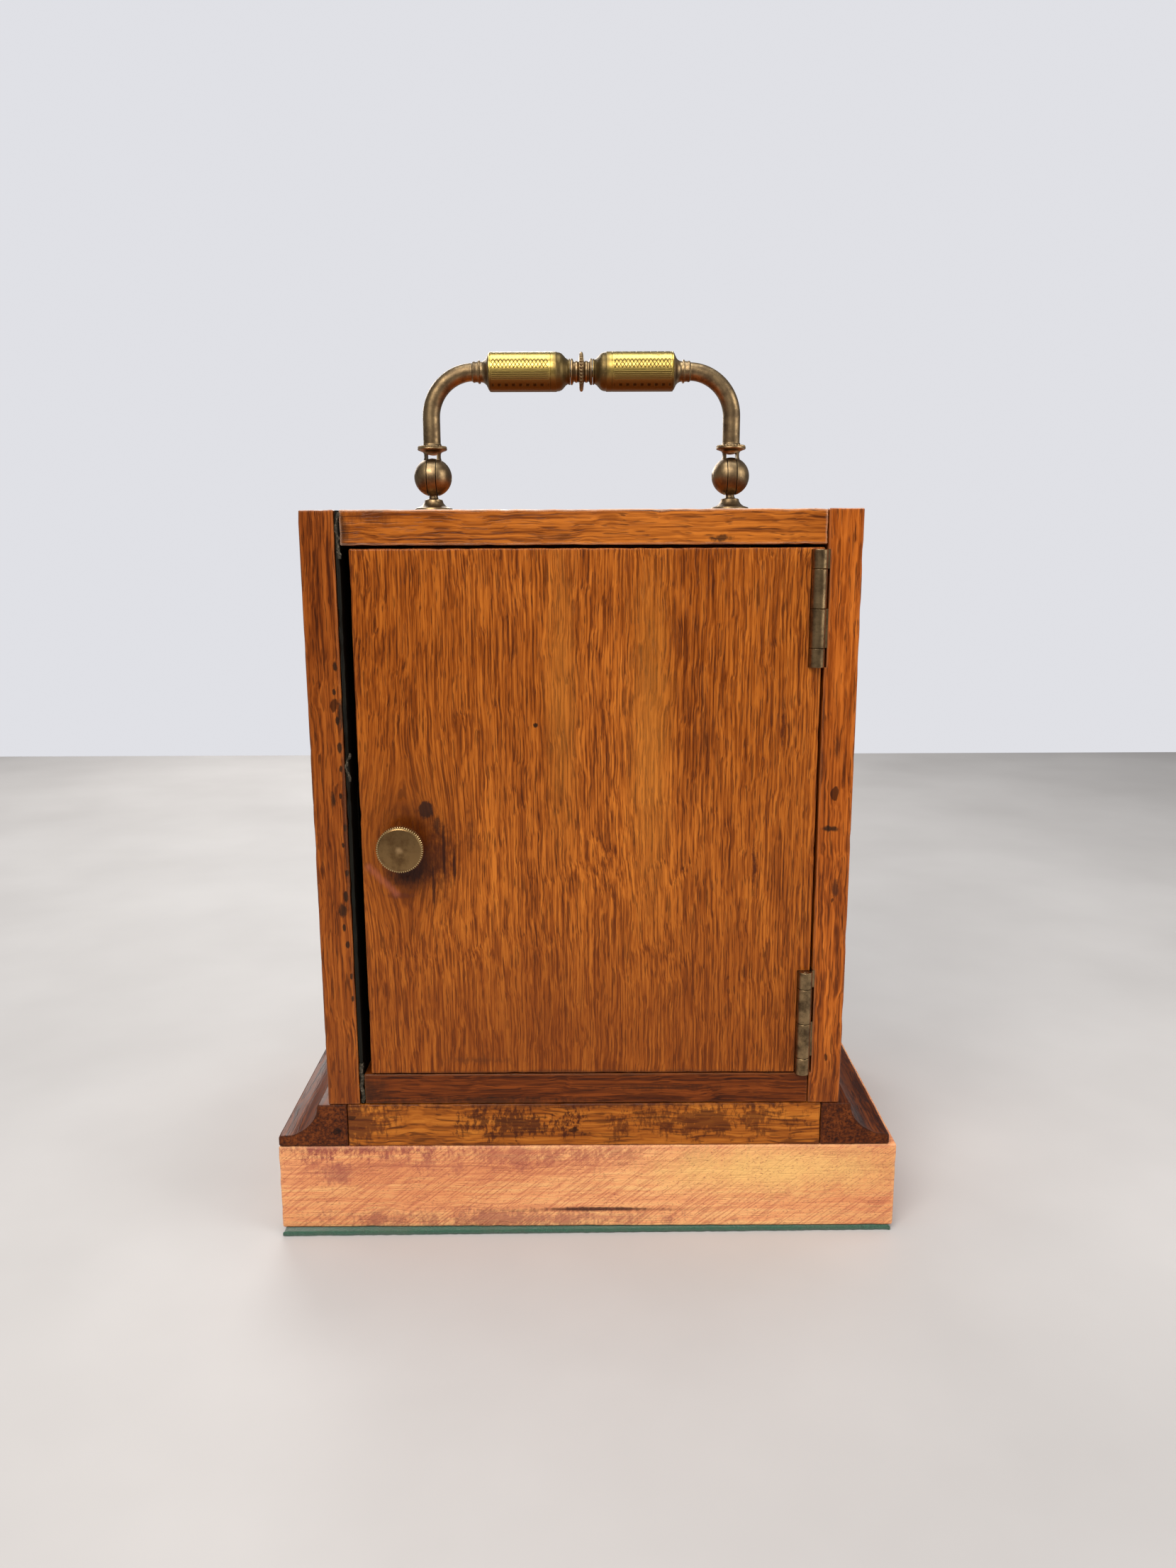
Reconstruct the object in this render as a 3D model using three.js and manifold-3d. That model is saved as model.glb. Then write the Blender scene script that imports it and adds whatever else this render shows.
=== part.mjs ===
// Mantel clock: a wooden case with a rear door, a folding carrying handle and an eight-day lever movement.
// Millimetres, +Z up. The dial faces -Y and the rear door faces +Y. Left and right are as seen facing the dial.
// The origin lies under the middle of the base, on the surface that the clock stands on.
import * as THREE from "three";
import { mergeVertices } from "three/addons/utils/BufferGeometryUtils.js";
import Module from "manifold-3d";

const wasm = await Module();
wasm.setup();

// ---------------------------------------------------------------- driving dimensions

// case
const caseWidth = 152.4;
const caseDepth = 114.3;
const caseHeight = 172.5;
const boardThickness = 9.5;
const frontPanelThickness = 9.5;
const slipThickness = 1.4; // dark slip between the right side and the ends of the top and bottom boards
const jointGap = 0.1; // between two pieces that are glued or laid against each other
const boardInset = 0.3; // the top and bottom boards stand this much inside the rear edges of the sides
const stopSize = 4.5; // strip that the closed door rests against

// base
const feltThickness = 1.6;
const feltTailRight = 2.4; // how far the loose felt sticks out behind, at its right rear corner
const feltTailLeft = 0.3;
const feltMargin = 0.6;
const blockHeight = 27;
const blockOverhang = 16.9;
const blockShift = -1; // the block sits a little to the left of the case
const plinthHeight = 13.5;
const plinthOverhang = 15.6;
const plinthLedge = 3.3; // flat top of the moulding, outside the case
const plinthUnderCase = 5.4; // how far the side mouldings reach in under the sides
const plinthNoseHeight = 3.4;
const plinthNoseWidth = 3.6;
const plinthRailWidth = 14;
const mitreGap = 0.1;

// rear door
const doorThickness = 8;
const doorGapTop = 0.8;
const doorGapBottom = 0.3;
const doorGapHinge = 0.7;
const doorGapLatch = 2.3;

// butt hinges
const hingeLength = 31.8;
const hingeEndKnuckle = 5.2;
const hingeTopInset = 0.6; // from the door's top to the upper hinge
const knuckleRadius = 2.1;
const knuckleGap = 0.12; // between one knuckle and the next
const hingePinRadius = 0.92;
const hingeBoreClearance = 0.09;
const hingeProud = 0.6; // how far the pin's axis stands behind the rear of the case
const leafThickness = 0.8;
const leafDepth = 7.2;
const leafSink = 0.6; // how deep the case leaf is let into the side
const mortiseClearance = 0.08;

// knob and its catch
const knobRadius = 6.6;
const knobHeadThickness = 2.6;
const knobStandOff = 7.4; // from the door to the knob's face
const knobStemRadius = 2.6;
const knobFromDoorEdge = 12;
const knobHeight = 80; // above the case's bottom
const knobTeeth = 40;
const knobToothDepth = 0.3;
const spindleRadius = 1.9;
const spindleClearance = 0.12;
const catchThickness = 1.6;
const catchWidth = 6;
const catchReach = 3; // into the right side when it is latched
const catchSetBack = 0.3; // from the door's inner face to the catch
const catchSlotClearance = 0.4;

// handle
const handleSpan = 94; // between the two pivots
const ballRadius = 5.9;
const ballAboveFoot = 3.5; // from the foot's rim to the lowest point of the ball
const tongueThickness = 2.8;
const forkClearance = 0.1;
const footRadius = 6;
const footBaseHeight = 3;
const footStudRadius = 1.8;
const footStudReach = 4; // below the top board
const neckRadius = 1.36;
const forkNeckRadius = 3.1;
const forkSlotRun = 1.5; // how far the slot runs on above the ball
const collarAboveBall = 2.8; // to the middle of the beaded collar
const collarRadius = 4.65;
const collarThickness = 1.4;
const gripRise = 31.6; // from the pivot to the grip's axis
const armRadius = 2.7;
const armBend = 13.6;
const gripOuterEnd = 28.5;
const gripInnerEnd = 6.9;
const gripRadius = 5.9;
const spoolRadius = 3.3;
const spoolDiscRadius = 5.9;
const spoolHalfLength = 3.4;
const coreRadius = 1.6; // rod that the grips are threaded on
const handlePinRadius = 1.1;
const boreClearance = 0.09;

// dial, bezel and hands
const dialHoleRadius = 50;
const dialClearance = 0.5;
const dialThickness = 1.2;
const dialInset = 0.4; // from the front of the case to the face of the dial
const dialFootRadius = 1.2;
const bezelOuterRadius = 55.5;
const bezelInnerRadius = 47.4;
const bezelDepth = 8.6;
const glassThickness = 1.5;
const glassLap = 1.3; // how far the glass reaches into the bezel
const glassClearance = 0.3;
const handThickness = 0.6;
const handGap = 0.8;
const minuteHandLength = 39;
const hourHandLength = 26;
const minuteHandAngle = 60; // degrees from twelve, clockwise as seen from the front
const hourHandAngle = 305;

// movement: plates and pillars
const plateHalfWidth = 44;
const plateAbove = 46; // from the centre arbor to the top of the plates
const plateBelow = 50;
const plateThickness = 2;
const plateSpacing = 30;
const plateCorner = 6;
const pillarRadius = 2.8;
const pillarInset = 6;
const pivotRadius = 0.6;
const pivotClearance = 0.1;
const arborRadius = 0.9;
const endShake = 0.3;
const wheelThickness = 1.2;
const pinionMargin = 0.7; // how far a pinion reaches past each face of the wheel that drives it

// movement: tooth counts and modules. Each wheel drives the pinion of the next arbor.
const barrelTeeth = 54;
const barrelModule = 0.7;
const intermediateLeaves = 9;
const intermediateTeeth = 54;
const intermediateModule = 0.6;
const centreLeaves = 9;
const centreTeeth = 64;
const centreModule = 0.5;
const thirdLeaves = 8;
const thirdTeeth = 60;
const thirdModule = 0.45;
const fourthLeaves = 8;
const fourthTeeth = 60;
const fourthModule = 0.45;
const escapeLeaves = 6;
const escapeTeeth = 15;
const escapeRadius = 7.5;
const cannonTeeth = 12;
const cannonModule = 0.5;
const minuteWheelTeeth = 36;
const minuteWheelLeaves = 10;
const hourWheelTeeth = 40;

// movement: directions from one arbor to the next, in degrees from +X towards +Z
const intermediateDirection = 200; // from the centre arbor
const barrelDirection = 265; // from the intermediate arbor
const thirdDirection = 20; // from the centre arbor
const fourthDirection = 120; // from the third arbor
const escapeDirection = 130; // from the fourth arbor
const leverDirection = 190; // from the escape arbor, and on to the balance

// movement: how far each wheel's front face lies in front of the back plate
const barrelToothLayer = 8;
const intermediateLayer = 4;
const centreLayer = 22;
const thirdLayer = 18;
const fourthLayer = 14;
const escapeLayer = 9.5;

// movement: barrel, ratchet and winding key
const barrelToothWidth = 2.5;
const barrelWall = 1;
const barrelFront = 3.2;
const barrelArborRadius = 2.5;
const barrelPivotRadius = 2;
const barrelHubRadius = 4.2;
const springThickness = 0.7;
const springTurns = 4;
const ratchetTeeth = 24;
const ratchetRadius = 8;
const ratchetThickness = 1.4;
const clickGap = 0.3;
const clickLength = 9;
const clickStudRadius = 1.2;
const keySquare = 3;
const keyClearance = 0.12;
const keyWing = 11;
const keyThickness = 2;
const keyTubeRadius = 3.2;
const keyLength = 9;

// movement: centre arbor, escapement and setting knob
const centreArborRadius = 1;
const sleeveWall = 0.7;
const balanceRadius = 10;
const balanceRim = 1.6;
const balanceThickness = 1.6;
const balanceRoller = 2;
const escapeToLever = 10.5;
const leverToBalance = 13;
const leverThickness = 1.1;
const palletGap = 0.5;
const hairspringThickness = 0.25;
const hairspringTurns = 3;
const cockThickness = 1.8;
const cockWidth = 8;
const setKnobRadius = 6;
const setKnobLength = 5;

const roundSegments = 14;
const smallSegments = 10;
const holeSegments = 12;
const dialSegments = 36;

// ---------------------------------------------------------------- places worked out from them

const halfWidth = caseWidth / 2;
const innerHalfWidth = halfWidth - boardThickness;
const blockDepth = caseDepth + blockOverhang;
const rearY = blockDepth / 2;
const frontY = rearY - caseDepth;
const blockBottom = feltThickness;
const plinthBottom = blockBottom + blockHeight;
const caseBottom = plinthBottom + plinthHeight;
const caseTop = caseBottom + caseHeight;
const openingBottom = caseBottom + boardThickness;
const openingTop = caseTop - boardThickness;
const slipFace = innerHalfWidth - slipThickness;
const panelBackY = frontY + frontPanelThickness;
const middleY = (frontY + rearY) / 2;
const dialZ = (openingBottom + openingTop) / 2;
const doorLeft = -innerHalfWidth + doorGapHinge;
const doorRight = slipFace - doorGapLatch;
const doorBottom = openingBottom + doorGapBottom;
const doorTop = openingTop - doorGapTop;
const doorInnerY = rearY - doorThickness;
const hingeX = -innerHalfWidth + jointGap + knuckleRadius;
const hingeY = rearY + hingeProud;
const knobX = doorRight - knobFromDoorEdge;
const knobZ = caseBottom + knobHeight;
const catchY = doorInnerY - catchSetBack;
const pivotZ = caseTop + footBaseHeight + ballAboveFoot + ballRadius;
const collarZ = pivotZ + ballRadius + collarAboveBall;
const gripZ = pivotZ + gripRise;
const hinges = [
  { name: "upper", top: doorTop - hingeTopInset },
  { name: "lower", top: doorBottom + hingeLength },
];

// The movement hangs on the back of the front panel. Arbors are given as [x, z].
const frontPlateY = panelBackY + jointGap;
const trainY = frontPlateY + plateThickness;
const backPlateY = trainY + plateSpacing;
const backPlateRearY = backPlateY + plateThickness;
const dialFaceY = frontY + dialInset;
const radians = THREE.MathUtils.degToRad;

function centreDistance(teeth, leaves, module) {
  return ((teeth + leaves) * module) / 2;
}

function polar(radius, angle, [x, y] = [0, 0]) {
  return [x + radius * Math.cos(angle), y + radius * Math.sin(angle)];
}

function nextArbor(from, distance, direction) {
  return polar(distance, radians(direction), from);
}

const centreArbor = [0, dialZ];
const intermediateArbor = nextArbor(
  centreArbor,
  centreDistance(intermediateTeeth, centreLeaves, intermediateModule),
  intermediateDirection,
);
const barrelArbor = nextArbor(
  intermediateArbor,
  centreDistance(barrelTeeth, intermediateLeaves, barrelModule),
  barrelDirection,
);
const thirdArbor = nextArbor(
  centreArbor,
  centreDistance(centreTeeth, thirdLeaves, centreModule),
  thirdDirection,
);
const fourthArbor = nextArbor(
  thirdArbor,
  centreDistance(thirdTeeth, fourthLeaves, thirdModule),
  fourthDirection,
);
const escapeArbor = nextArbor(
  fourthArbor,
  centreDistance(fourthTeeth, escapeLeaves, fourthModule),
  escapeDirection,
);
const leverArbor = nextArbor(escapeArbor, escapeToLever, leverDirection);
const balanceArbor = nextArbor(leverArbor, leverToBalance, leverDirection);
const minuteWheelDistance = centreDistance(minuteWheelTeeth, cannonTeeth, cannonModule);
const hourModule = (2 * minuteWheelDistance) / (hourWheelTeeth + minuteWheelLeaves);
const minuteWheelArbor = nextArbor(centreArbor, minuteWheelDistance, -90);
const clickTip = ratchetRadius - 1.1 + clickGap; // from the barrel's arbor
const clickAt = [barrelArbor[0] + clickTip + 1.6, barrelArbor[1] - clickLength];

// ---------------------------------------------------------------- solids

const alongY = new THREE.Matrix4().makeRotationX(Math.PI / 2); // a drawing's +y becomes +Z

// A closed three.js geometry as a solid that can be joined and cut.
function solidOf(geometry) {
  const bare = geometry.index ? geometry.toNonIndexed() : geometry.clone();
  bare.deleteAttribute("normal");
  bare.deleteAttribute("uv");
  const merged = mergeVertices(bare, 1e-4);
  const mesh = new wasm.Mesh({
    numProp: 3,
    vertProperties: merged.attributes.position.array,
    triVerts: new Uint32Array(merged.index.array),
  });
  return new wasm.Manifold(mesh);
}

function geometryOf(solid) {
  const mesh = solid.getMesh();
  const geometry = new THREE.BufferGeometry();
  geometry.setAttribute("position", new THREE.BufferAttribute(mesh.vertProperties, 3));
  geometry.setIndex(new THREE.BufferAttribute(mesh.triVerts, 1));
  geometry.computeVertexNormals();
  return geometry;
}

function join(...solids) {
  return solids.reduce((sum, solid) => sum.add(solid));
}

function cut(solid, ...tools) {
  return tools.reduce((rest, tool) => rest.subtract(tool), solid);
}

function block([x0, x1], [y0, y1], [z0, z1]) {
  const geometry = new THREE.BoxGeometry(x1 - x0, y1 - y0, z1 - z0);
  geometry.translate((x0 + x1) / 2, (y0 + y1) / 2, (z0 + z1) / 2);
  return solidOf(geometry);
}

// A round bar between two points of a line along X, Y or Z. The line's place is given in the other two axes.
function bar(axis, radius, [start, end], [a, b], segments = roundSegments) {
  const geometry = new THREE.CylinderGeometry(radius, radius, end - start, segments);
  const middle = (start + end) / 2;
  if (axis === "x") geometry.rotateZ(Math.PI / 2).translate(middle, a, b);
  if (axis === "y") geometry.translate(a, middle, b);
  if (axis === "z") geometry.rotateX(Math.PI / 2).translate(a, b, middle);
  return solidOf(geometry);
}

// A profile of [radius, place along the axis], turned about a line along X, Y or Z.
function turned(axis, profile, [a, b], segments = roundSegments) {
  const points = profile.map(([radius, along]) => new THREE.Vector2(radius, along));
  const geometry = new THREE.LatheGeometry(points, segments);
  if (axis === "x") geometry.rotateZ(-Math.PI / 2).translate(0, a, b);
  if (axis === "y") geometry.translate(a, 0, b);
  if (axis === "z") geometry.rotateX(Math.PI / 2).translate(a, b, 0);
  return solidOf(geometry);
}

// A shape drawn in X and Z, filled from y0 to y1, with the drawing's origin at [x, z].
function plate(shape, [y0, y1], [x, z] = [0, 0]) {
  const geometry = new THREE.ExtrudeGeometry(shape, {
    depth: y1 - y0,
    bevelEnabled: false,
    curveSegments: 5,
  });
  geometry.applyMatrix4(alongY).translate(x, y1, z);
  return solidOf(geometry);
}

function vectors(points) {
  return points.map(([x, y]) => new THREE.Vector2(x, y));
}

function outline(points) {
  return new THREE.Shape(vectors(points));
}

function ringOfPoints(radius, segments, [x, y] = [0, 0]) {
  const points = [];
  for (let i = 0; i < segments; i++) points.push(polar(radius, (2 * Math.PI * i) / segments, [x, y]));
  return points;
}

function roundedRectangle([left, right], [bottom, top], corner) {
  const shape = new THREE.Shape();
  const quarter = Math.PI / 2;
  shape.absarc(right - corner, bottom + corner, corner, -quarter, 0);
  shape.absarc(right - corner, top - corner, corner, 0, quarter);
  shape.absarc(left + corner, top - corner, corner, quarter, 2 * quarter);
  shape.absarc(left + corner, bottom + corner, corner, 2 * quarter, 3 * quarter);
  return shape;
}

// ---------------------------------------------------------------- toothed wheels

// Heights are in modules. Widths are shares of the distance from one tooth to the next.
const wheelTooth = { addendum: 0.8, dedendum: 1.5, atTip: 0, atRoot: 1 };
const pinionLeaf = { addendum: 0.7, dedendum: 1.4, atTip: 0, atRoot: 0.6 };

// A toothed outline about the origin. The middle of one tooth lies at the phase angle.
function toothed({ teeth, module, phase, tooth }) {
  const pitch = (2 * Math.PI) / teeth;
  const pitchRadius = (teeth * module) / 2;
  const root = pitchRadius - tooth.dedendum * module;
  const tip = pitchRadius + tooth.addendum * module;
  const points = [];
  for (let i = 0; i < teeth; i++) {
    const middle = phase + i * pitch;
    const tipHalf = (tooth.atTip / 2) * pitch;
    const rootHalf = (tooth.atRoot / 2) * pitch;
    points.push(polar(root, middle - rootHalf));
    if (tipHalf > 0) points.push(polar(tip, middle - tipHalf));
    points.push(polar(tip, middle + tipHalf));
    if (tooth.atRoot < 1) points.push(polar(root, middle + rootHalf));
  }
  return outline(points);
}

// Cuts windows into a wheel, leaving arms of an even width between the hub and the rim.
function crossOut(shape, [inner, outer], arms, armWidth) {
  const arc = (radius, from, to, steps) => {
    const edge = armWidth / 2 / radius;
    const points = [];
    for (let k = 0; k <= steps; k++) {
      points.push(polar(radius, from + edge + (k / steps) * (to - from - 2 * edge)));
    }
    return points;
  };
  for (let i = 0; i < arms; i++) {
    const from = (2 * Math.PI * i) / arms;
    const to = (2 * Math.PI * (i + 1)) / arms;
    const points = [...arc(outer, from, to, 3), ...arc(inner, from, to, 1).reverse()];
    shape.holes.push(new THREE.Path(vectors(points)));
  }
  return shape;
}

// The phase of a pinion that meshes with a wheel, seen in the direction from the wheel to the pinion.
function meshPhase(wheelPhase, wheelTeeth, pinionTeeth, direction) {
  const towards = radians(direction);
  const offset = wheelPhase - towards;
  return towards + Math.PI - (offset * wheelTeeth + Math.PI) / pinionTeeth;
}

// A wheel with its windows, and a pinion that reaches past the wheel that drives it.
function wheelSolid({ teeth, module, phase, at, layer, hub }) {
  const shape = toothed({ teeth, module, phase, tooth: wheelTooth });
  const rim = (teeth * module) / 2 - 1.3 * module - 1.5;
  crossOut(shape, [hub, rim], 4, 1.8);
  const y = backPlateY - layer;
  return plate(shape, [y, y + wheelThickness], at);
}

function pinionSolid({ leaves, module, phase, at, layer, width = wheelThickness }) {
  const shape = toothed({ teeth: leaves, module, phase, tooth: pinionLeaf });
  const y = backPlateY - layer;
  return plate(shape, [y - pinionMargin, y + width + pinionMargin], at);
}

// An arbor between the plates, with a thinner pivot at each end.
function arborSolid(at, rear = backPlateRearY) {
  return join(
    bar("y", arborRadius, [trainY + endShake, backPlateY - endShake], at, smallSegments),
    bar("y", pivotRadius, [frontPlateY + 0.2, rear], at, smallSegments),
  );
}

// ---------------------------------------------------------------- finishes and the group

const finish = (color, roughness, metalness = 0) => ({ color, roughness, metalness });
const finishes = {
  oak: finish(0x8a4a1a, 0.4),
  darkOak: finish(0x5a2c12, 0.45),
  paleWood: finish(0xc98a58, 0.6),
  darkSlip: finish(0x17130f, 0.7),
  felt: finish(0x0d5a3c, 0.95),
  agedBrass: finish(0x7a6238, 0.4, 1),
  brightBrass: finish(0xc9a242, 0.25, 1),
  movementBrass: finish(0xc8a050, 0.3, 1),
  steel: finish(0x8c8f94, 0.3, 1),
  blueSteel: finish(0x1a2347, 0.3, 1),
  enamel: finish(0xf2eee2, 0.25),
  glass: finish(0xdfe8ea, 0.05),
};

const clock = new THREE.Group();

function addGeometry(name, geometry, look) {
  const mesh = new THREE.Mesh(geometry, new THREE.MeshStandardMaterial(look));
  mesh.name = name;
  clock.add(mesh);
}

function add(name, solid, look) {
  addGeometry(name, geometryOf(solid), look);
}

// Adds a piece of the handle twice: as drawn on the right, and turned half round for the left.
function addBothEnds(name, solid, look) {
  add(name + "_right", solid, look);
  const turnedRound = geometryOf(solid);
  turnedRound.translate(0, -middleY, 0).rotateZ(Math.PI).translate(0, middleY, 0);
  addGeometry(name + "_left", turnedRound, look);
}

// ---------------------------------------------------------------- case

function caseLeafMortise({ top }) {
  return block(
    [-innerHalfWidth - leafSink - mortiseClearance, -innerHalfWidth + 1],
    [rearY - leafDepth - mortiseClearance, rearY + 1],
    [top - hingeLength - mortiseClearance, top + mortiseClearance],
  );
}

// The slot in the right side that the catch turns down into from above.
function catchSlot() {
  const swing = Math.sqrt(2 * (innerHalfWidth - knobX) * (catchReach + slipThickness)) + catchReach;
  return block(
    [slipFace - 1, innerHalfWidth + catchReach + catchSlotClearance],
    [catchY - catchThickness - catchSlotClearance, catchY + catchSlotClearance],
    [knobZ - catchWidth / 2 - catchSlotClearance, knobZ + swing + catchSlotClearance],
  );
}

function addCase() {
  const height = [caseBottom, caseTop];
  const leftSide = block([-halfWidth, -innerHalfWidth], [frontY, rearY], height);
  add("case_side_left", cut(leftSide, ...hinges.map(caseLeafMortise)), finishes.oak);
  const rightSide = block([innerHalfWidth, halfWidth], [frontY, rearY], height);
  add("case_side_right", cut(rightSide, catchSlot()), finishes.oak);
  const boardRear = rearY - boardInset;
  const slip = block([slipFace + jointGap, innerHalfWidth - jointGap], [frontY, boardRear], height);
  add("side_slip", cut(slip, catchSlot()), finishes.darkSlip);

  const boardWidth = [-innerHalfWidth + jointGap, slipFace];
  const studHoles = [-1, 1].map((side) =>
    bar(
      "z",
      footStudRadius + boreClearance,
      [openingTop - 1, caseTop + 1],
      [(side * handleSpan) / 2, middleY],
      smallSegments,
    ),
  );
  const topBoard = block(boardWidth, [frontY, boardRear], [openingTop, caseTop]);
  add("case_top", cut(topBoard, ...studHoles), finishes.oak);
  add(
    "case_bottom",
    block(boardWidth, [frontY, boardRear], [caseBottom, openingBottom]),
    finishes.darkOak,
  );
  const stopRear = doorInnerY - jointGap;
  const stop = block([-handleSpan / 2, knobX - 4], [stopRear - stopSize, stopRear], [
    openingTop - jointGap - stopSize,
    openingTop - jointGap,
  ]);
  add("door_stop", stop, finishes.darkOak);
  const panel = block(boardWidth, [frontY, panelBackY], [openingBottom + jointGap, openingTop - jointGap]);
  const dialHole = bar("y", dialHoleRadius, [frontY - 1, panelBackY + 1], centreArbor, dialSegments);
  add("front_panel", cut(panel, dialHole), finishes.oak);
}

// ---------------------------------------------------------------- base

// The moulding's section as [distance out from the case, height], hollowed between the ledge and the nose.
function mouldingSection(inner) {
  const top = caseBottom - jointGap;
  const noseTop = plinthBottom + plinthNoseHeight;
  const noseInner = plinthOverhang - plinthNoseWidth;
  const points = [
    [inner, plinthBottom],
    [plinthOverhang, plinthBottom],
    [plinthOverhang, noseTop - 0.8],
    [plinthOverhang - 0.5, noseTop - 0.3],
  ];
  const steps = 6;
  for (let i = 0; i <= steps; i++) {
    const angle = (Math.PI / 2) * (i / steps);
    points.push([
      noseInner - (noseInner - plinthLedge) * Math.sin(angle),
      top - 0.6 - (top - 0.6 - noseTop) * Math.cos(angle),
    ]);
  }
  points.push([plinthLedge - 0.4, top], [inner, top]);
  return points;
}

// Slides the front ends of a length of moulding so that they meet at the corners of the case.
function mitre(geometry, place) {
  const position = geometry.getAttribute("position");
  const point = new THREE.Vector3();
  for (let i = 0; i < position.count; i++) {
    place(point.fromBufferAttribute(position, i));
    position.setXYZ(i, point.x, point.y, point.z);
  }
  return geometry;
}

function addBase() {
  const run = { depth: 100, bevelEnabled: false };
  for (const side of [-1, 1]) {
    const section = mouldingSection(-plinthUnderCase).map(([out, z]) => [side * (halfWidth + out), z]);
    const length = new THREE.ExtrudeGeometry(outline(section), run).applyMatrix4(alongY);
    mitre(length, (point) => {
      const out = Math.abs(point.x) - halfWidth;
      point.y = point.y < -1 ? frontY - out + mitreGap : rearY;
    });
    const name = side < 0 ? "plinth_moulding_left" : "plinth_moulding_right";
    add(name, solidOf(length), finishes.darkOak);
  }
  const section = mouldingSection(-plinthUnderCase).map(([out, z]) => [frontY - out, z]);
  const front = new THREE.ExtrudeGeometry(outline(section), run);
  front.applyMatrix4(new THREE.Matrix4().set(0, 0, 1, 0, 1, 0, 0, 0, 0, 1, 0, 0, 0, 0, 0, 1));
  mitre(front, (point) => {
    const end = halfWidth + frontY - point.y - mitreGap;
    point.x = point.x > 1 ? end : -end;
  });
  add("plinth_moulding_front", solidOf(front), finishes.darkOak);

  const railHalf = halfWidth - plinthUnderCase - jointGap;
  const plinthZ = [plinthBottom, caseBottom - jointGap];
  const rail = block([-railHalf, railHalf], [rearY - plinthRailWidth, rearY], plinthZ);
  add("plinth_back_rail", rail, finishes.oak);

  const blockHalf = halfWidth + blockOverhang;
  const blockX = [blockShift - blockHalf, blockShift + blockHalf];
  const baseBlock = block(blockX, [-blockDepth / 2, rearY], [blockBottom, plinthBottom - jointGap]);
  add("base_block", baseBlock, finishes.paleWood);

  const feltX = [blockX[0] + feltMargin, blockX[1] - feltMargin];
  const feltShape = outline([
    [feltX[0], -blockDepth / 2 + feltMargin],
    [feltX[1], -blockDepth / 2 + feltMargin],
    [feltX[1], rearY + feltTailRight],
    [feltX[0], rearY + feltTailLeft],
  ]);
  const felt = new THREE.ExtrudeGeometry(feltShape, {
    depth: feltThickness - jointGap,
    bevelEnabled: false,
  });
  add("felt_pad", solidOf(felt), finishes.felt);
}

// ---------------------------------------------------------------- door, hinges and knob

// The four knuckles of a hinge from the top down: two short ones at the ends, two long ones between.
function knuckleSpans({ top }) {
  const ends = [0, hingeEndKnuckle, hingeLength / 2, hingeLength - hingeEndKnuckle, hingeLength];
  return [0, 1, 2, 3].map((i) => [top - ends[i + 1] + (i < 3 ? knuckleGap : 0), top - ends[i]]);
}

function knuckle(span) {
  const at = [hingeX, hingeY];
  const bore = bar("z", hingePinRadius + hingeBoreClearance, [span[0] - 1, span[1] + 1], at, holeSegments);
  return cut(bar("z", knuckleRadius, span, at, holeSegments), bore);
}

function addHinge(hinge) {
  const spans = knuckleSpans(hinge);
  const wholeZ = [hinge.top - hingeLength, hinge.top];
  const leafRear = hingeY - knuckleRadius - 0.2;
  const leafY = [rearY - leafDepth, leafRear];
  const caseFace = -innerHalfWidth - leafSink;
  const bridgeEnd = hingeX - hingePinRadius - hingeBoreClearance - 0.35;

  const caseX = [caseFace, caseFace + leafThickness];
  const caseLeaf = [block(caseX, leafY, wholeZ)];
  for (const span of [spans[0], spans[2]]) {
    caseLeaf.push(block(caseX, [leafRear - 1, rearY], span));
    caseLeaf.push(block([caseX[1] - 0.2, bridgeEnd], [rearY - 0.5, rearY + 0.4], span));
    caseLeaf.push(knuckle(span));
  }
  add("hinge_" + hinge.name + "_case_leaf", join(...caseLeaf), finishes.agedBrass);

  const doorX = [doorLeft, doorLeft + leafThickness];
  const doorLeaf = [block(doorX, leafY, wholeZ)];
  for (const span of [spans[1], spans[3]]) {
    doorLeaf.push(block(doorX, [leafRear - 1, hingeY - 1.2], span));
    doorLeaf.push(knuckle(span));
  }
  add("hinge_" + hinge.name + "_door_leaf", join(...doorLeaf), finishes.agedBrass);
  const pin = bar("z", hingePinRadius, wholeZ, [hingeX, hingeY], holeSegments);
  add("hinge_" + hinge.name + "_pin", pin, finishes.steel);
}

function hingeNotches({ top }) {
  const z = [top - hingeLength - mortiseClearance, top + mortiseClearance];
  return [
    block(
      [doorLeft - 1, doorLeft + leafThickness + mortiseClearance],
      [rearY - leafDepth - mortiseClearance, rearY + 1],
      z,
    ),
    block(
      [doorLeft - 1, hingeX + knuckleRadius + 0.15],
      [hingeY - knuckleRadius - 0.25, rearY + 1],
      z,
    ),
  ];
}

function milledOutline(radius, teeth, depth) {
  const points = [];
  for (let i = 0; i < teeth; i++) {
    points.push(polar(radius, (2 * Math.PI * i) / teeth));
    points.push(polar(radius - depth, (2 * Math.PI * (i + 0.5)) / teeth));
  }
  return outline(points);
}

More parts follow.
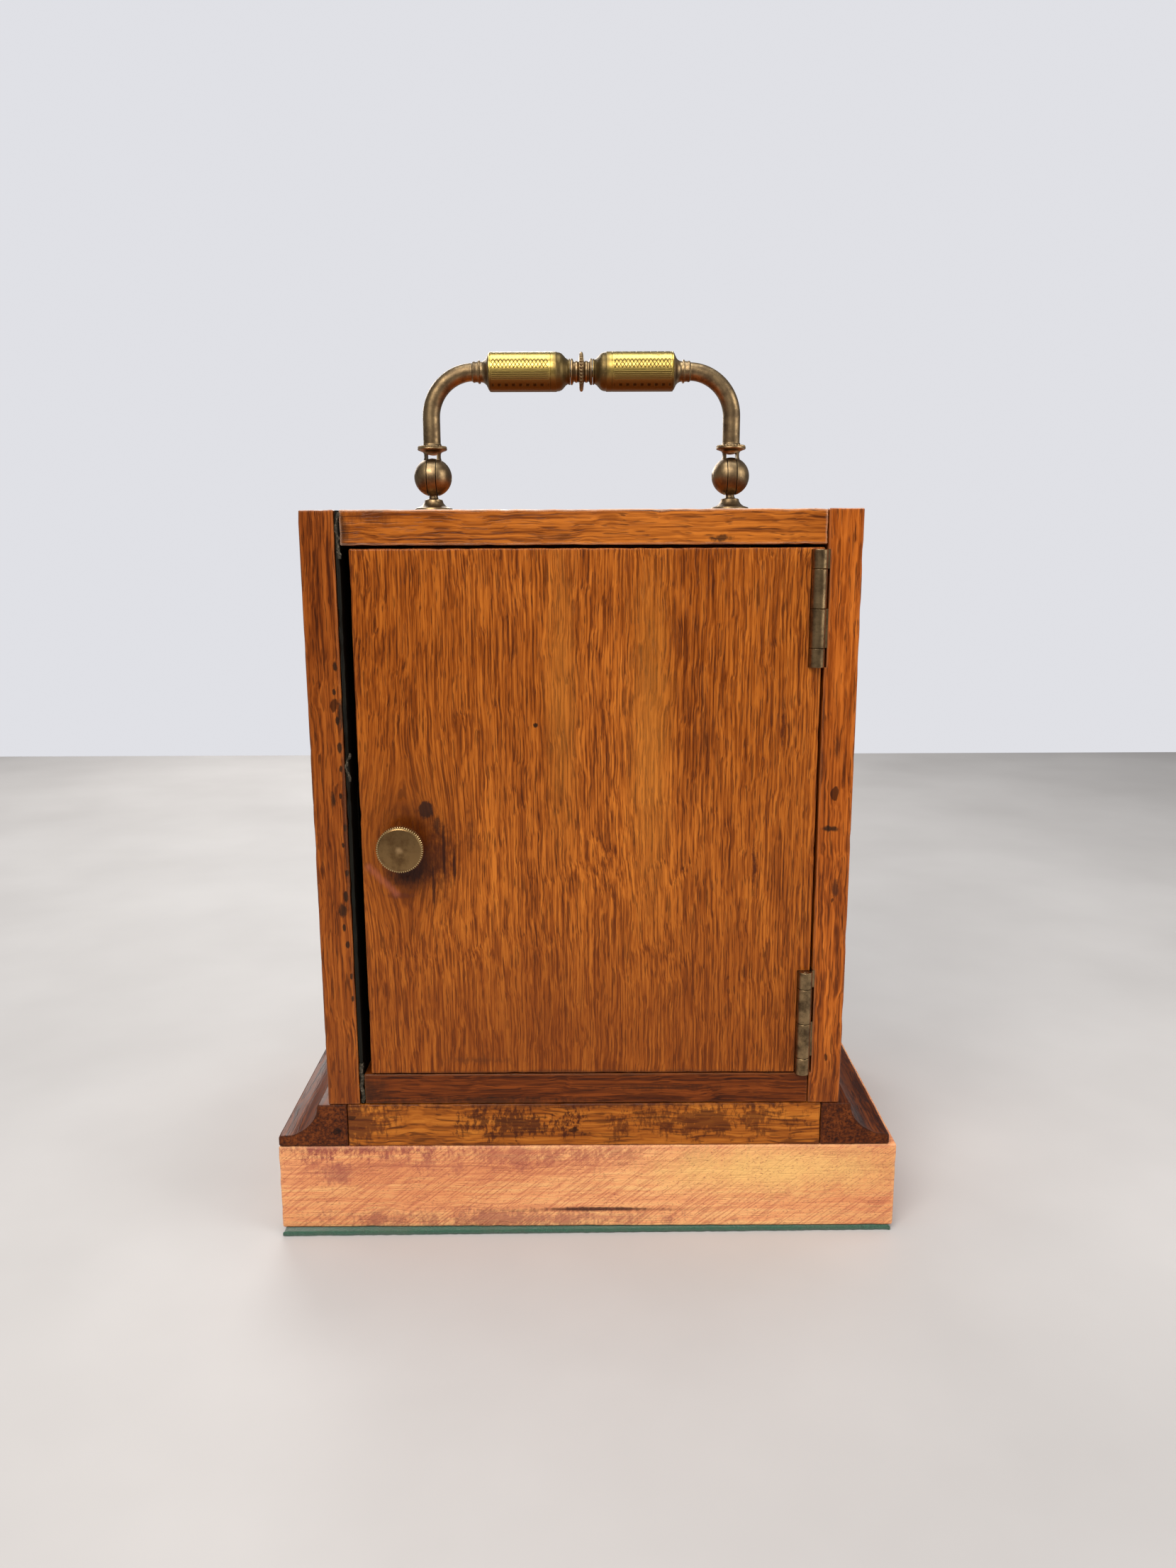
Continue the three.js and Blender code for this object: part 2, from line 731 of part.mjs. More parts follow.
function addKnob() {
  const at = [knobX, knobZ];
  const faceY = rearY + knobStandOff;
  const headY = faceY - knobHeadThickness;
  const headRadius = knobRadius - knobToothDepth - 0.1;
  const milledRim = plate(milledOutline(knobRadius, knobTeeth, knobToothDepth), [headY, faceY - 0.5], at);
  const turning = turned(
    "y",
    [
      [0, rearY + 0.3],
      [knobStemRadius + 1.2, rearY + 0.3],
      [knobStemRadius + 0.9, rearY + 1.1],
      [knobStemRadius - 0.2, rearY + 2.3],
      [knobStemRadius + 0.2, headY + 0.2],
      [headRadius, headY + 0.3],
      [headRadius, faceY - 0.45],
      [headRadius - 0.9, faceY - 0.12],
      [0, faceY],
    ],
    at,
  );
  const spindleEnd = catchY - catchThickness - 1.2;
  const spindle = bar("y", spindleRadius, [spindleEnd, rearY + 1], at, smallSegments);
  add("door_knob", join(turning, milledRim, spindle), finishes.agedBrass);

  // the catch stands upright, turned out of its slot
  const reach = innerHalfWidth + catchReach - knobX;
  const half = catchWidth / 2;
  const shape = new THREE.Shape();
  shape.absarc(0, 0, half, Math.PI, 2 * Math.PI);
  shape.absarc(0, reach - half, half, 0, Math.PI);
  const bore = bar("y", spindleRadius + spindleClearance, [catchY - 5, catchY + 5], at, smallSegments);
  add("latch_tongue", cut(plate(shape, [catchY - catchThickness, catchY], at), bore), finishes.agedBrass);
}

function addDoor() {
  const board = block([doorLeft, doorRight], [doorInnerY, rearY], [doorBottom, doorTop]);
  const spindleHole = bar(
    "y",
    spindleRadius + spindleClearance,
    [doorInnerY - 1, rearY + 1],
    [knobX, knobZ],
    smallSegments,
  );
  add("rear_door", cut(board, ...hinges.flatMap(hingeNotches), spindleHole), finishes.oak);
  hinges.forEach(addHinge);
  addKnob();
}

// ---------------------------------------------------------------- handle

function addHandleFoot() {
  const x = handleSpan / 2;
  const base = caseTop + jointGap;
  const top = caseTop + footBaseHeight;
  const turning = turned(
    "z",
    [
      [0, base],
      [footRadius, base],
      [footRadius, top],
      [footRadius - 1, top + 0.3],
      [footRadius - 2.5, top + 1.1],
      [footRadius - 3.2, top + 2],
      [footRadius - 3.4, top + 2.7],
      [neckRadius, top + 2.9],
      [neckRadius, pivotZ - ballRadius + 1],
      [0, pivotZ - ballRadius + 1],
    ],
    [x, middleY],
  );
  const ball = new THREE.SphereGeometry(ballRadius - 0.1, 14, 8).rotateZ(Math.PI / 2);
  ball.translate(x, middleY, pivotZ);
  const half = tongueThickness / 2;
  const slab = block(
    [x - half, x + half],
    [middleY - 10, middleY + 10],
    [pivotZ - 10, pivotZ + 10],
  );
  const stud = bar(
    "z",
    footStudRadius,
    [openingTop - footStudReach, base + 1],
    [x, middleY],
    smallSegments,
  );
  const foot = join(turning, solidOf(ball).intersect(slab), stud);
  addBothEnds("handle_foot", cut(foot, handleBore()), finishes.agedBrass);
}

function handleBore() {
  const x = handleSpan / 2;
  const span = [x - ballRadius - 1, x + ballRadius + 1];
  return bar("x", handlePinRadius + boreClearance, span, [middleY, pivotZ], smallSegments);
}

// The rod that rises from the fork and bends over to the grip.
function armRod() {
  const x = handleSpan / 2;
  const corner = x - armBend;
  const bendStart = gripZ - armBend;
  const path = new THREE.CurvePath();
  path.add(
    new THREE.LineCurve3(
      new THREE.Vector3(x, middleY, collarZ),
      new THREE.Vector3(x, middleY, bendStart),
    ),
  );
  const bend = [];
  for (let i = 0; i <= 8; i++) {
    const [bendX, bendZ] = polar(armBend, (Math.PI / 2) * (i / 8), [corner, bendStart]);
    bend.push(new THREE.Vector3(bendX, middleY, bendZ));
  }
  path.add(new THREE.CatmullRomCurve3(bend));
  const section = outline(ringOfPoints(armRadius, 10));
  return solidOf(
    new THREE.ExtrudeGeometry(section, { steps: 10, bevelEnabled: false, extrudePath: path }),
  );
}

function addHandleArm() {
  const x = handleSpan / 2;
  const ball = new THREE.SphereGeometry(ballRadius, 14, 8).rotateZ(Math.PI / 2);
  ball.translate(x, middleY, pivotZ);
  const turning = turned(
    "z",
    [
      [0, pivotZ + 3],
      [forkNeckRadius, pivotZ + 3],
      [forkNeckRadius, collarZ - collarThickness / 2 - 0.4],
      [collarRadius - 0.5, collarZ - collarThickness / 2],
      [collarRadius, collarZ],
      [collarRadius - 0.5, collarZ + collarThickness / 2],
      [armRadius, collarZ + collarThickness / 2 + 0.3],
      [0, collarZ + collarThickness / 2 + 0.3],
    ],
    [x, middleY],
  );
  const slotHalf = tongueThickness / 2 + forkClearance;
  const slot = bar("x", ballRadius + forkSlotRun, [x - slotHalf, x + slotHalf], [middleY, pivotZ], 24);

  const end = gripOuterEnd + jointGap;
  const gripEnd = turned(
    "x",
    [
      [0, end],
      [gripRadius - 0.3, end],
      [gripRadius - 1.6, end + 1],
      [armRadius + 0.6, end + 2.2],
      [armRadius + 0.2, end + 3],
      [armRadius + 0.8, end + 3.4],
      [armRadius + 0.8, end + 4.3],
      [armRadius, end + 4.7],
      [armRadius, x - armBend + 0.6],
      [0, x - armBend + 0.6],
    ],
    [middleY, gripZ],
  );
  const coreHole = bar(
    "x",
    coreRadius + boreClearance,
    [end - 1, end + 3],
    [middleY, gripZ],
    smallSegments,
  );
  const arm = cut(join(solidOf(ball), turning), slot, handleBore());
  addBothEnds("handle_arm", cut(join(arm, armRod(), gripEnd), coreHole), finishes.agedBrass);
}

function addHandle() {
  addHandleFoot();
  addHandleArm();
  const x = handleSpan / 2;
  const pinHalf = ballRadius - 0.3;
  const pin = bar("x", handlePinRadius, [x - pinHalf, x + pinHalf], [middleY, pivotZ], smallSegments);
  addBothEnds("handle_pin", pin, finishes.agedBrass);

  const coreBore = bar("x", coreRadius + boreClearance, [-40, 40], [middleY, gripZ], smallSegments);
  const grip = turned(
    "x",
    [
      [0, spoolHalfLength + jointGap],
      [gripRadius - 2.1, spoolHalfLength + jointGap],
      [gripRadius - 1.9, gripInnerEnd - 2.4],
      [gripRadius - 0.9, gripInnerEnd - 1.7],
      [gripRadius - 0.2, gripInnerEnd - 0.7],
      [gripRadius, gripInnerEnd],
      [gripRadius, gripOuterEnd],
      [0, gripOuterEnd],
    ],
    [middleY, gripZ],
    18,
  );
  addBothEnds("handle_grip", cut(grip, coreBore), finishes.brightBrass);

  const end = spoolHalfLength;
  const spool = turned(
    "x",
    [
      [0, -end],
      [spoolRadius + 0.6, -end],
      [spoolRadius + 0.6, -end + 0.7],
      [spoolRadius, -end + 1.2],
      [spoolRadius, -0.9],
      [spoolDiscRadius, -0.4],
      [spoolDiscRadius, 0.4],
      [spoolRadius, 0.9],
      [spoolRadius, end - 1.2],
      [spoolRadius + 0.6, end - 0.7],
      [spoolRadius + 0.6, end],
      [0, end],
    ],
    [middleY, gripZ],
    18,
  );
  add("handle_spool", cut(spool, coreBore), finishes.agedBrass);
  const coreEnd = gripOuterEnd + jointGap + 2.8;
  const core = bar("x", coreRadius, [-coreEnd, coreEnd], [middleY, gripZ], smallSegments);
  add("handle_core_rod", core, finishes.steel);
}

// ---------------------------------------------------------------- dial, bezel and hands

const hourPipe = { bore: 1.85, radius: 2.5 };
const cannonPipeRadius = centreArborRadius + boreClearance + 0.65;
const hourHandY = dialFaceY - handGap - handThickness;
const minuteHandY = hourHandY - handGap - handThickness;

// A straight tapering hand with a round boss, pointing to twelve until it is turned.
function handSolid(length, width, angle, y, bossRadius, bore) {
  const shape = outline([
    [-width * 0.7, -length * 0.2],
    [width * 0.7, -length * 0.2],
    [width, length * 0.55],
    [width * 0.35, length * 0.8],
    [0, length],
    [-width * 0.35, length * 0.8],
    [-width, length * 0.55],
  ]);
  const pointer = new THREE.ExtrudeGeometry(shape, { depth: handThickness, bevelEnabled: false });
  pointer.rotateZ(-radians(angle)).applyMatrix4(alongY);
  pointer.translate(centreArbor[0], y + handThickness, centreArbor[1]);
  const ends = [y, y + handThickness];
  const boss = bar("y", bossRadius, ends, centreArbor, roundSegments);
  const hole = bar("y", bore, [y - 1, y + handThickness + 1], centreArbor, roundSegments);
  return cut(join(solidOf(pointer), boss), hole);
}

function addDial() {
  const dialBack = dialFaceY + dialThickness;
  const dialRadius = dialHoleRadius - dialClearance;
  const disc = bar("y", dialRadius, [dialFaceY, dialBack], centreArbor, dialSegments);
  const feet = [60, 180, 300].map((angle) =>
    bar(
      "y",
      dialFootRadius,
      [dialBack - 0.5, frontPlateY - jointGap],
      nextArbor(centreArbor, dialRadius - 12, angle),
      8,
    ),
  );
  const centreHole = bar("y", hourPipe.radius + 0.4, [dialFaceY - 1, dialBack + 1], centreArbor);
  add("dial", cut(join(disc, ...feet), centreHole), finishes.enamel);

  const back = frontY - jointGap;
  const front = frontY - bezelDepth;
  const inner = bezelInnerRadius;
  const outer = bezelOuterRadius;
  const glassSeat = inner + glassLap + glassClearance;
  const glassY = [front + 2.6, front + 2.6 + glassThickness];
  const bezelProfile = [
    [inner, front + 1.4],
    [inner + 1.2, front + 0.3],
    [inner + 3, front],
    [outer - 2.6, front + 1.4],
    [outer - 1, front + 4.2],
    [outer - 0.6, front + 6],
    [outer, front + 6.4],
    [outer, back],
    [inner, back],
    [inner, glassY[1] + glassClearance],
    [glassSeat, glassY[1] + glassClearance],
    [glassSeat, glassY[0] - glassClearance],
    [inner, glassY[0] - glassClearance],
    [inner, front + 1.4],
  ];
  add("bezel", turned("y", bezelProfile, centreArbor, dialSegments), finishes.brightBrass);
  add("glass", bar("y", inner + glassLap, glassY, centreArbor, dialSegments), finishes.glass);

  const hourHand = handSolid(hourHandLength, 1.9, hourHandAngle, hourHandY, 4, hourPipe.radius + 0.1);
  add("hour_hand", hourHand, finishes.blueSteel);
  const minuteBore = cannonPipeRadius + 0.1;
  const minuteHand = handSolid(minuteHandLength, 1.5, minuteHandAngle, minuteHandY, 3, minuteBore);
  add("minute_hand", minuteHand, finishes.blueSteel);
}

// ---------------------------------------------------------------- movement

// Phases that make every pinion mesh with the wheel that drives it.
const phases = { barrel: 0, intermediate: 0, centre: 0, third: 0, fourth: 0, cannon: 0, minuteWheel: 0 };
const pinionPhases = {
  intermediate: meshPhase(phases.barrel, barrelTeeth, intermediateLeaves, barrelDirection + 180),
  centre: meshPhase(phases.intermediate, intermediateTeeth, centreLeaves, intermediateDirection + 180),
  third: meshPhase(phases.centre, centreTeeth, thirdLeaves, thirdDirection),
  fourth: meshPhase(phases.third, thirdTeeth, fourthLeaves, fourthDirection),
  escape: meshPhase(phases.fourth, fourthTeeth, escapeLeaves, escapeDirection),
};

function plateOutline() {
  const [x, z] = centreArbor;
  return roundedRectangle(
    [x - plateHalfWidth, x + plateHalfWidth],
    [z - plateBelow, z + plateAbove],
    plateCorner,
  );
}

function pillarPlaces() {
  const x = plateHalfWidth - pillarInset;
  const top = dialZ + plateAbove - pillarInset;
  const bottom = dialZ - plateBelow + pillarInset;
  return [
    [-x, top],
    [x, top],
    [-x, bottom],
    [x, bottom],
  ];
}

// Bores for the pivots in both plates.
function pivotBores(y) {
  const small = [intermediateArbor, thirdArbor, fourthArbor, escapeArbor, leverArbor, balanceArbor];
  const bores = small.map((at) => bar("y", pivotRadius + pivotClearance, y, at, smallSegments));
  bores.push(bar("y", centreArborRadius + pivotClearance, y, centreArbor, smallSegments));
  bores.push(bar("y", barrelPivotRadius + pivotClearance, y, barrelArbor, holeSegments));
  return bores;
}

function addPlates() {
  const frontSpan = [frontPlateY, trainY];
  const frontPlate = plate(plateOutline(), frontSpan);
  const pillars = pillarPlaces().map((at) =>
    join(
      bar("y", pillarRadius, [trainY - 0.5, backPlateY - jointGap], at, smallSegments),
      bar("y", pillarRadius - 1.1, [backPlateY - 1, backPlateRearY + 1.2], at, smallSegments),
    ),
  );
  const stud = bar(
    "y",
    pivotRadius,
    [frontPlateY - 6, frontPlateY + 0.5],
    minuteWheelArbor,
    smallSegments,
  );
  const frontBores = pivotBores([frontPlateY - 1, trainY + 1]);
  add("front_plate", join(cut(frontPlate, ...frontBores), ...pillars, stud), finishes.movementBrass);

  const backPlate = plate(plateOutline(), [backPlateY, backPlateRearY]);
  const backSpan = [backPlateY - 1, backPlateRearY + 1];
  const pillarHoles = pillarPlaces().map((at) =>
    bar("y", pillarRadius - 1.1 + boreClearance, backSpan, at, smallSegments),
  );
  const clickStud = bar(
    "y",
    clickStudRadius,
    [backPlateRearY - 0.5, backPlateRearY + ratchetThickness + 1],
    clickAt,
    smallSegments,
  );
  const bored = cut(backPlate, ...pivotBores(backSpan), ...pillarHoles);
  add("back_plate", join(bored, clickStud), finishes.movementBrass);
}

// A flat spiral strip from an inner to an outer radius.
function spiral([inner, outer], turns, thickness, steps) {
  const points = [];
  const count = turns * steps;
  for (let i = 0; i <= count; i++) {
    points.push(polar(inner + ((outer - inner) * i) / count + thickness, (2 * Math.PI * i) / steps));
  }
  for (let i = count; i >= 0; i--) {
    points.push(polar(inner + ((outer - inner) * i) / count, (2 * Math.PI * i) / steps));
  }
  return outline(points);
}

function addBarrel() {
  const module = barrelModule;
  const toothFront = backPlateY - barrelToothLayer;
  const toothY = [toothFront, toothFront + barrelToothWidth];
  const drumRadius = (barrelTeeth * module) / 2 - 1.3 * module - 0.6;
  const innerRadius = drumRadius - barrelWall;
  const front = trainY + barrelFront;
  const bore = barrelArborRadius + pivotClearance;
  const toothRing = plate(
    toothed({ teeth: barrelTeeth, module, phase: phases.barrel, tooth: wheelTooth }),
    toothY,
    barrelArbor,
  );
  const drum = bar("y", drumRadius, [front, toothY[1] - 0.2], barrelArbor, 32);
  const hollow = bar("y", innerRadius, [front - 1, toothY[1] - barrelWall], barrelArbor, 32);
  const hole = bar("y", bore, [front - 1, toothY[1] + 1], barrelArbor, holeSegments);
  add("barrel", cut(join(toothRing, drum), hollow, hole), finishes.movementBrass);
  const cap = bar("y", innerRadius - 0.2, [front, front + barrelWall], barrelArbor, 32);
  add("barrel_cap", cut(cap, hole), finishes.movementBrass);

  const squareEnd = backPlateRearY + 3 + keyLength;
  const arbor = join(
    bar("y", barrelArborRadius, [trainY + endShake, backPlateY - endShake], barrelArbor, holeSegments),
    bar("y", barrelPivotRadius, [frontPlateY + 0.2, backPlateRearY + 0.4], barrelArbor, holeSegments),
    bar(
      "y",
      barrelHubRadius,
      [front + barrelWall + 1, toothY[1] - barrelWall - 0.5],
      barrelArbor,
      holeSegments,
    ),
    squareBar(keySquare, [backPlateRearY + 0.2, squareEnd]),
  );
  add("barrel_arbor", arbor, finishes.steel);

  const springGap = 0.3;
  const springY = [front + barrelWall + 1.2, toothY[1] - barrelWall - 0.8];
  const springRadii = [barrelHubRadius + springGap, innerRadius - springThickness - springGap];
  const spring = plate(spiral(springRadii, springTurns, springThickness, 12), springY, barrelArbor);
  add("mainspring", spring, finishes.blueSteel);

  const ratchetY = [backPlateRearY + 0.5, backPlateRearY + 0.5 + ratchetThickness];
  const points = [];
  for (let i = 0; i < ratchetTeeth; i++) {
    points.push(polar(ratchetRadius, (2 * Math.PI * i) / ratchetTeeth));
    points.push(polar(ratchetRadius - 1.1, (2 * Math.PI * (i + 0.1)) / ratchetTeeth));
  }
  const ratchet = plate(outline(points), ratchetY, barrelArbor);
  const ratchetHole = squareBar(keySquare + 2 * keyClearance, [ratchetY[0] - 1, ratchetY[1] + 1]);
  add("ratchet_wheel", cut(ratchet, ratchetHole), finishes.steel);

  // the click lies on the right of the ratchet and rests in one of its gaps
  const clickShape = outline([
    [-2, -1],
    [-1, -2.2],
    [1, -2.2],
    [2, -1],
    [2, 1.5],
    [0.9, clickLength],
    [0.4, clickLength + 1.2],
    [-1.6, clickLength + 0.45],
    [-0.5, clickLength + 0.2],
    [-0.4, clickLength - 1],
    [-2, 1.5],
  ]);
  const clickHole = bar(
    "y",
    clickStudRadius + pivotClearance,
    [ratchetY[0] - 1, ratchetY[1] + 1],
    clickAt,
    smallSegments,
  );
  add("click", cut(plate(clickShape, ratchetY, clickAt), clickHole), finishes.steel);
  const keyY = [ratchetY[1] + 1.2, squareEnd + 1.5];
  const tube = bar("y", keyTubeRadius, keyY, barrelArbor);
  const wing = block(
    [barrelArbor[0] - keyThickness / 2, barrelArbor[0] + keyThickness / 2],
    [keyY[1] - 1, keyY[1] + 9],
    [barrelArbor[1] - keyWing, barrelArbor[1] + keyWing],
  );
  const socket = squareBar(keySquare + 2 * keyClearance, [keyY[0] - 1, squareEnd + 0.3]);
  add("winding_key", cut(join(tube, wing), socket), finishes.brightBrass);
}

function squareBar(size, y) {
  const [x, z] = barrelArbor;
  return block([x - size / 2, x + size / 2], y, [z - size / 2, z + size / 2]);
}

function addTrain() {
  const intermediate = join(
    arborSolid(intermediateArbor),
    pinionSolid({
      leaves: intermediateLeaves,
      module: barrelModule,
      phase: pinionPhases.intermediate,
      at: intermediateArbor,
      layer: barrelToothLayer,
      width: barrelToothWidth,
    }),
    wheelSolid({
      teeth: intermediateTeeth,
      module: intermediateModule,
      phase: phases.intermediate,
      at: intermediateArbor,
      layer: intermediateLayer,
      hub: 4,
    }),
  );
  add("intermediate_wheel", intermediate, finishes.movementBrass);

  const sleeveRadius = centreArborRadius + boreClearance + sleeveWall;
  const sleeve = bar("y", sleeveRadius, [trainY + endShake, backPlateY - endShake], centreArbor, 16);
  const centre = join(
    sleeve,
    pinionSolid({
      leaves: centreLeaves,
      module: intermediateModule,
      phase: pinionPhases.centre,
      at: centreArbor,
      layer: intermediateLayer,
    }),
    wheelSolid({
      teeth: centreTeeth,
      module: centreModule,
      phase: phases.centre,
      at: centreArbor,
      layer: centreLayer,
      hub: 4,
    }),
  );
  const sleeveBore = bar(
    "y",
    centreArborRadius + boreClearance,
    [trainY - 1, backPlateY + 1],
    centreArbor,
    smallSegments,
  );
  add("centre_wheel", cut(centre, sleeveBore), finishes.movementBrass);

  const third = join(
    arborSolid(thirdArbor),
    pinionSolid({
      leaves: thirdLeaves,
      module: centreModule,
      phase: pinionPhases.third,
      at: thirdArbor,
      layer: centreLayer,
    }),
    wheelSolid({
      teeth: thirdTeeth,
      module: thirdModule,
      phase: phases.third,
      at: thirdArbor,
      layer: thirdLayer,
      hub: 3.4,
    }),
  );
  add("third_wheel", third, finishes.movementBrass);

  const fourth = join(
    arborSolid(fourthArbor),
    pinionSolid({
      leaves: fourthLeaves,
      module: thirdModule,
      phase: pinionPhases.fourth,
      at: fourthArbor,
      layer: thirdLayer,
    }),
    wheelSolid({
      teeth: fourthTeeth,
      module: fourthModule,
      phase: phases.fourth,
      at: fourthArbor,
      layer: fourthLayer,
      hub: 3.2,
    }),
  );
  add("fourth_wheel", fourth, finishes.movementBrass);

  const escapeShape = [];
  for (let i = 0; i < escapeTeeth; i++) {
    const angle = (2 * Math.PI * i) / escapeTeeth;
    escapeShape.push(polar(escapeRadius, angle));
    escapeShape.push(polar(escapeRadius, angle + 0.06));
    escapeShape.push(polar(escapeRadius - 2, angle + 0.2));
    escapeShape.push(polar(escapeRadius - 2, angle + 0.32));
  }
  const escapeWheel = crossOut(outline(escapeShape), [2.4, escapeRadius - 3.2], 4, 1.1);
  const escapeY = backPlateY - escapeLayer;
  const escape = join(
    arborSolid(escapeArbor),
    pinionSolid({
      leaves: escapeLeaves,
      module: fourthModule,
      phase: pinionPhases.escape,
      at: escapeArbor,
      layer: fourthLayer,
    }),
    plate(escapeWheel, [escapeY, escapeY + wheelThickness], escapeArbor),
  );
  add("escape_wheel", escape, finishes.steel);
}

function addMotionWork() {
  const arborRear = backPlateRearY + 1 + setKnobLength;
  const arbor = bar(
    "y",
    centreArborRadius,
    [minuteHandY - 1, arborRear - 1],
    centreArbor,
    smallSegments,
  );
  add("centre_arbor", arbor, finishes.steel);

  const cannonY = frontPlateY - 0.4;
  const arborBore = bar(
    "y",
    centreArborRadius + boreClearance,
    [minuteHandY - 5, arborRear - 0.8],
    centreArbor,
    smallSegments,
  );
  const cannon = join(
    plate(
      toothed({ teeth: cannonTeeth, module: cannonModule, phase: phases.cannon, tooth: pinionLeaf }),
      [cannonY - 2.2, cannonY],
      centreArbor,
    ),
    bar("y", cannonPipeRadius, [minuteHandY - 0.4, cannonY - 1], centreArbor, 16),
  );
  add("cannon_pinion", cut(cannon, arborBore), finishes.movementBrass);

  const minutePhase = meshPhase(phases.cannon, cannonTeeth, minuteWheelTeeth, -90);
  const minuteShape = toothed({
    teeth: minuteWheelTeeth,
    module: cannonModule,
    phase: minutePhase,
    tooth: wheelTooth,
  });
  const minuteWheelY = [cannonY - 1.7, cannonY - 0.5];
  const minuteWheel = join(
    plate(minuteShape, minuteWheelY, minuteWheelArbor),
    plate(
      toothed({ teeth: minuteWheelLeaves, module: hourModule, phase: 0, tooth: pinionLeaf }),
      [cannonY - 4.8, cannonY - 1],
      minuteWheelArbor,
    ),
  );
  const studBore = bar(
    "y",
    pivotRadius + pivotClearance,
    [cannonY - 8, cannonY + 1],
    minuteWheelArbor,
    smallSegments,
  );
  add("minute_wheel", cut(minuteWheel, studBore), finishes.movementBrass);

  const hourShape = toothed({
    teeth: hourWheelTeeth,
    module: hourModule,
    phase: meshPhase(0, minuteWheelLeaves, hourWheelTeeth, 90),
    tooth: wheelTooth,
  });
  const hourWheel = join(
    plate(hourShape, [cannonY - 4.2, cannonY - 3], centreArbor),
    bar("y", hourPipe.radius, [hourHandY - 0.2, cannonY - 3], centreArbor, 16),
  );
  const pipeBore = bar("y", hourPipe.bore + 0.1, [hourHandY - 2, cannonY], centreArbor, 16);
  add("hour_wheel", cut(hourWheel, pipeBore), finishes.movementBrass);

  const knobY = [backPlateRearY + 1, arborRear];
  const knob = join(
    bar("y", 2.4, [knobY[0], knobY[1] - 1], centreArbor),
    plate(milledOutline(setKnobRadius, 24, 0.4), [knobY[1] - 3, knobY[1]], centreArbor),
  );
  add("set_knob", cut(knob, arborBore), finishes.brightBrass);
}

function addEscapement() {
  const away = radians(leverDirection);
  const leverFront = backPlateY - escapeLayer;
  const leverY = [leverFront, leverFront + leverThickness];
  const along = (distance, across) => {
    const [x, z] = polar(distance, away);
    return [x - across * Math.sin(away), z + across * Math.cos(away)];
  };
  // the pallets stand just clear of the escape wheel on either side, the fork just clear of the roller
  const palletAt = escapeToLever - escapeRadius - palletGap;
  const forkAt = leverToBalance - balanceRoller - 0.5;
  const shape = outline([
    along(-palletAt + 2, -1.2),
    along(-palletAt + 1.6, -6.2),
    along(-palletAt - 0.5, -7.2),
    along(-palletAt - 1.5, -6.2),
    along(-palletAt + 0.1, -4.6),
    along(-palletAt + 0.2, 4.6),
    along(-palletAt - 1.5, 6.2),
    along(-palletAt - 0.5, 7.2),
    along(-palletAt + 1.6, 6.2),
    along(-palletAt + 2, 1.2),
    along(forkAt - 2, 0.7),
    along(forkAt, 1.4),
    along(forkAt, 0.6),
    along(forkAt - 1, 0.4),
    along(forkAt - 1, -0.4),
    along(forkAt, -0.6),
    along(forkAt, -1.4),
    along(forkAt - 2, -0.7),
  ]);
  const hub = bar("y", 1.7, leverY, leverArbor, smallSegments);
  add("lever", join(plate(shape, leverY, leverArbor), hub, arborSolid(leverArbor)), finishes.steel);

  const rimY = [backPlateRearY + 1.2, backPlateRearY + 1.2 + balanceThickness];
  const cockY = [backPlateRearY + 6, backPlateRearY + 6 + cockThickness];
  const rim = outline(ringOfPoints(balanceRadius, 28));
  crossOut(rim, [2, balanceRadius - balanceRim], 3, 1.4);
  const roller = bar("y", balanceRoller, leverY, balanceArbor, smallSegments);
  const staff = bar("y", arborRadius, [trainY + endShake, backPlateY - endShake], balanceArbor, smallSegments);
  const pivots = bar("y", pivotRadius, [frontPlateY + 0.2, cockY[1] - 0.2], balanceArbor, smallSegments);
  add("balance", join(plate(rim, rimY, balanceArbor), roller, staff, pivots), finishes.brightBrass);

  const springY = [rimY[1] + 0.9, rimY[1] + 1.6];
  const hairspring = spiral([1.3, 5.6], hairspringTurns, hairspringThickness, 12);
  add("hairspring", plate(hairspring, springY, balanceArbor), finishes.blueSteel);

  const footDistance = balanceRadius + 4;
  const half = cockWidth / 2;
  const cockShape = new THREE.Shape();
  cockShape.absarc(0, 0, half, -Math.PI / 2, Math.PI / 2);
  cockShape.absarc(-footDistance, 0, half, Math.PI / 2, 1.5 * Math.PI);
  const foot = block(
    [balanceArbor[0] - footDistance - half + 1, balanceArbor[0] - balanceRadius - 0.8],
    [backPlateRearY + jointGap, cockY[1]],
    [balanceArbor[1] - half + 0.6, balanceArbor[1] + half - 0.6],
  );
  const pivotHole = bar(
    "y",
    pivotRadius + pivotClearance,
    [cockY[0] - 1, cockY[1] + 1],
    balanceArbor,
    smallSegments,
  );
  add("balance_cock", cut(join(plate(cockShape, cockY, balanceArbor), foot), pivotHole), finishes.movementBrass);
}

addCase();
addBase();
addDoor();
addHandle();
addDial();
addPlates();
addBarrel();
addTrain();
addMotionWork();
addEscapement();

export default clock;
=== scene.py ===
"""Mantel clock: the looks of the oak case, its brass handle, door furniture, dial and movement.

Metres, +Z up. The dial faces -Y and the rear door faces +Y. Left and right are as seen facing the dial.
"""

import math

import bmesh
import bpy
from mathutils import Matrix, Vector, noise


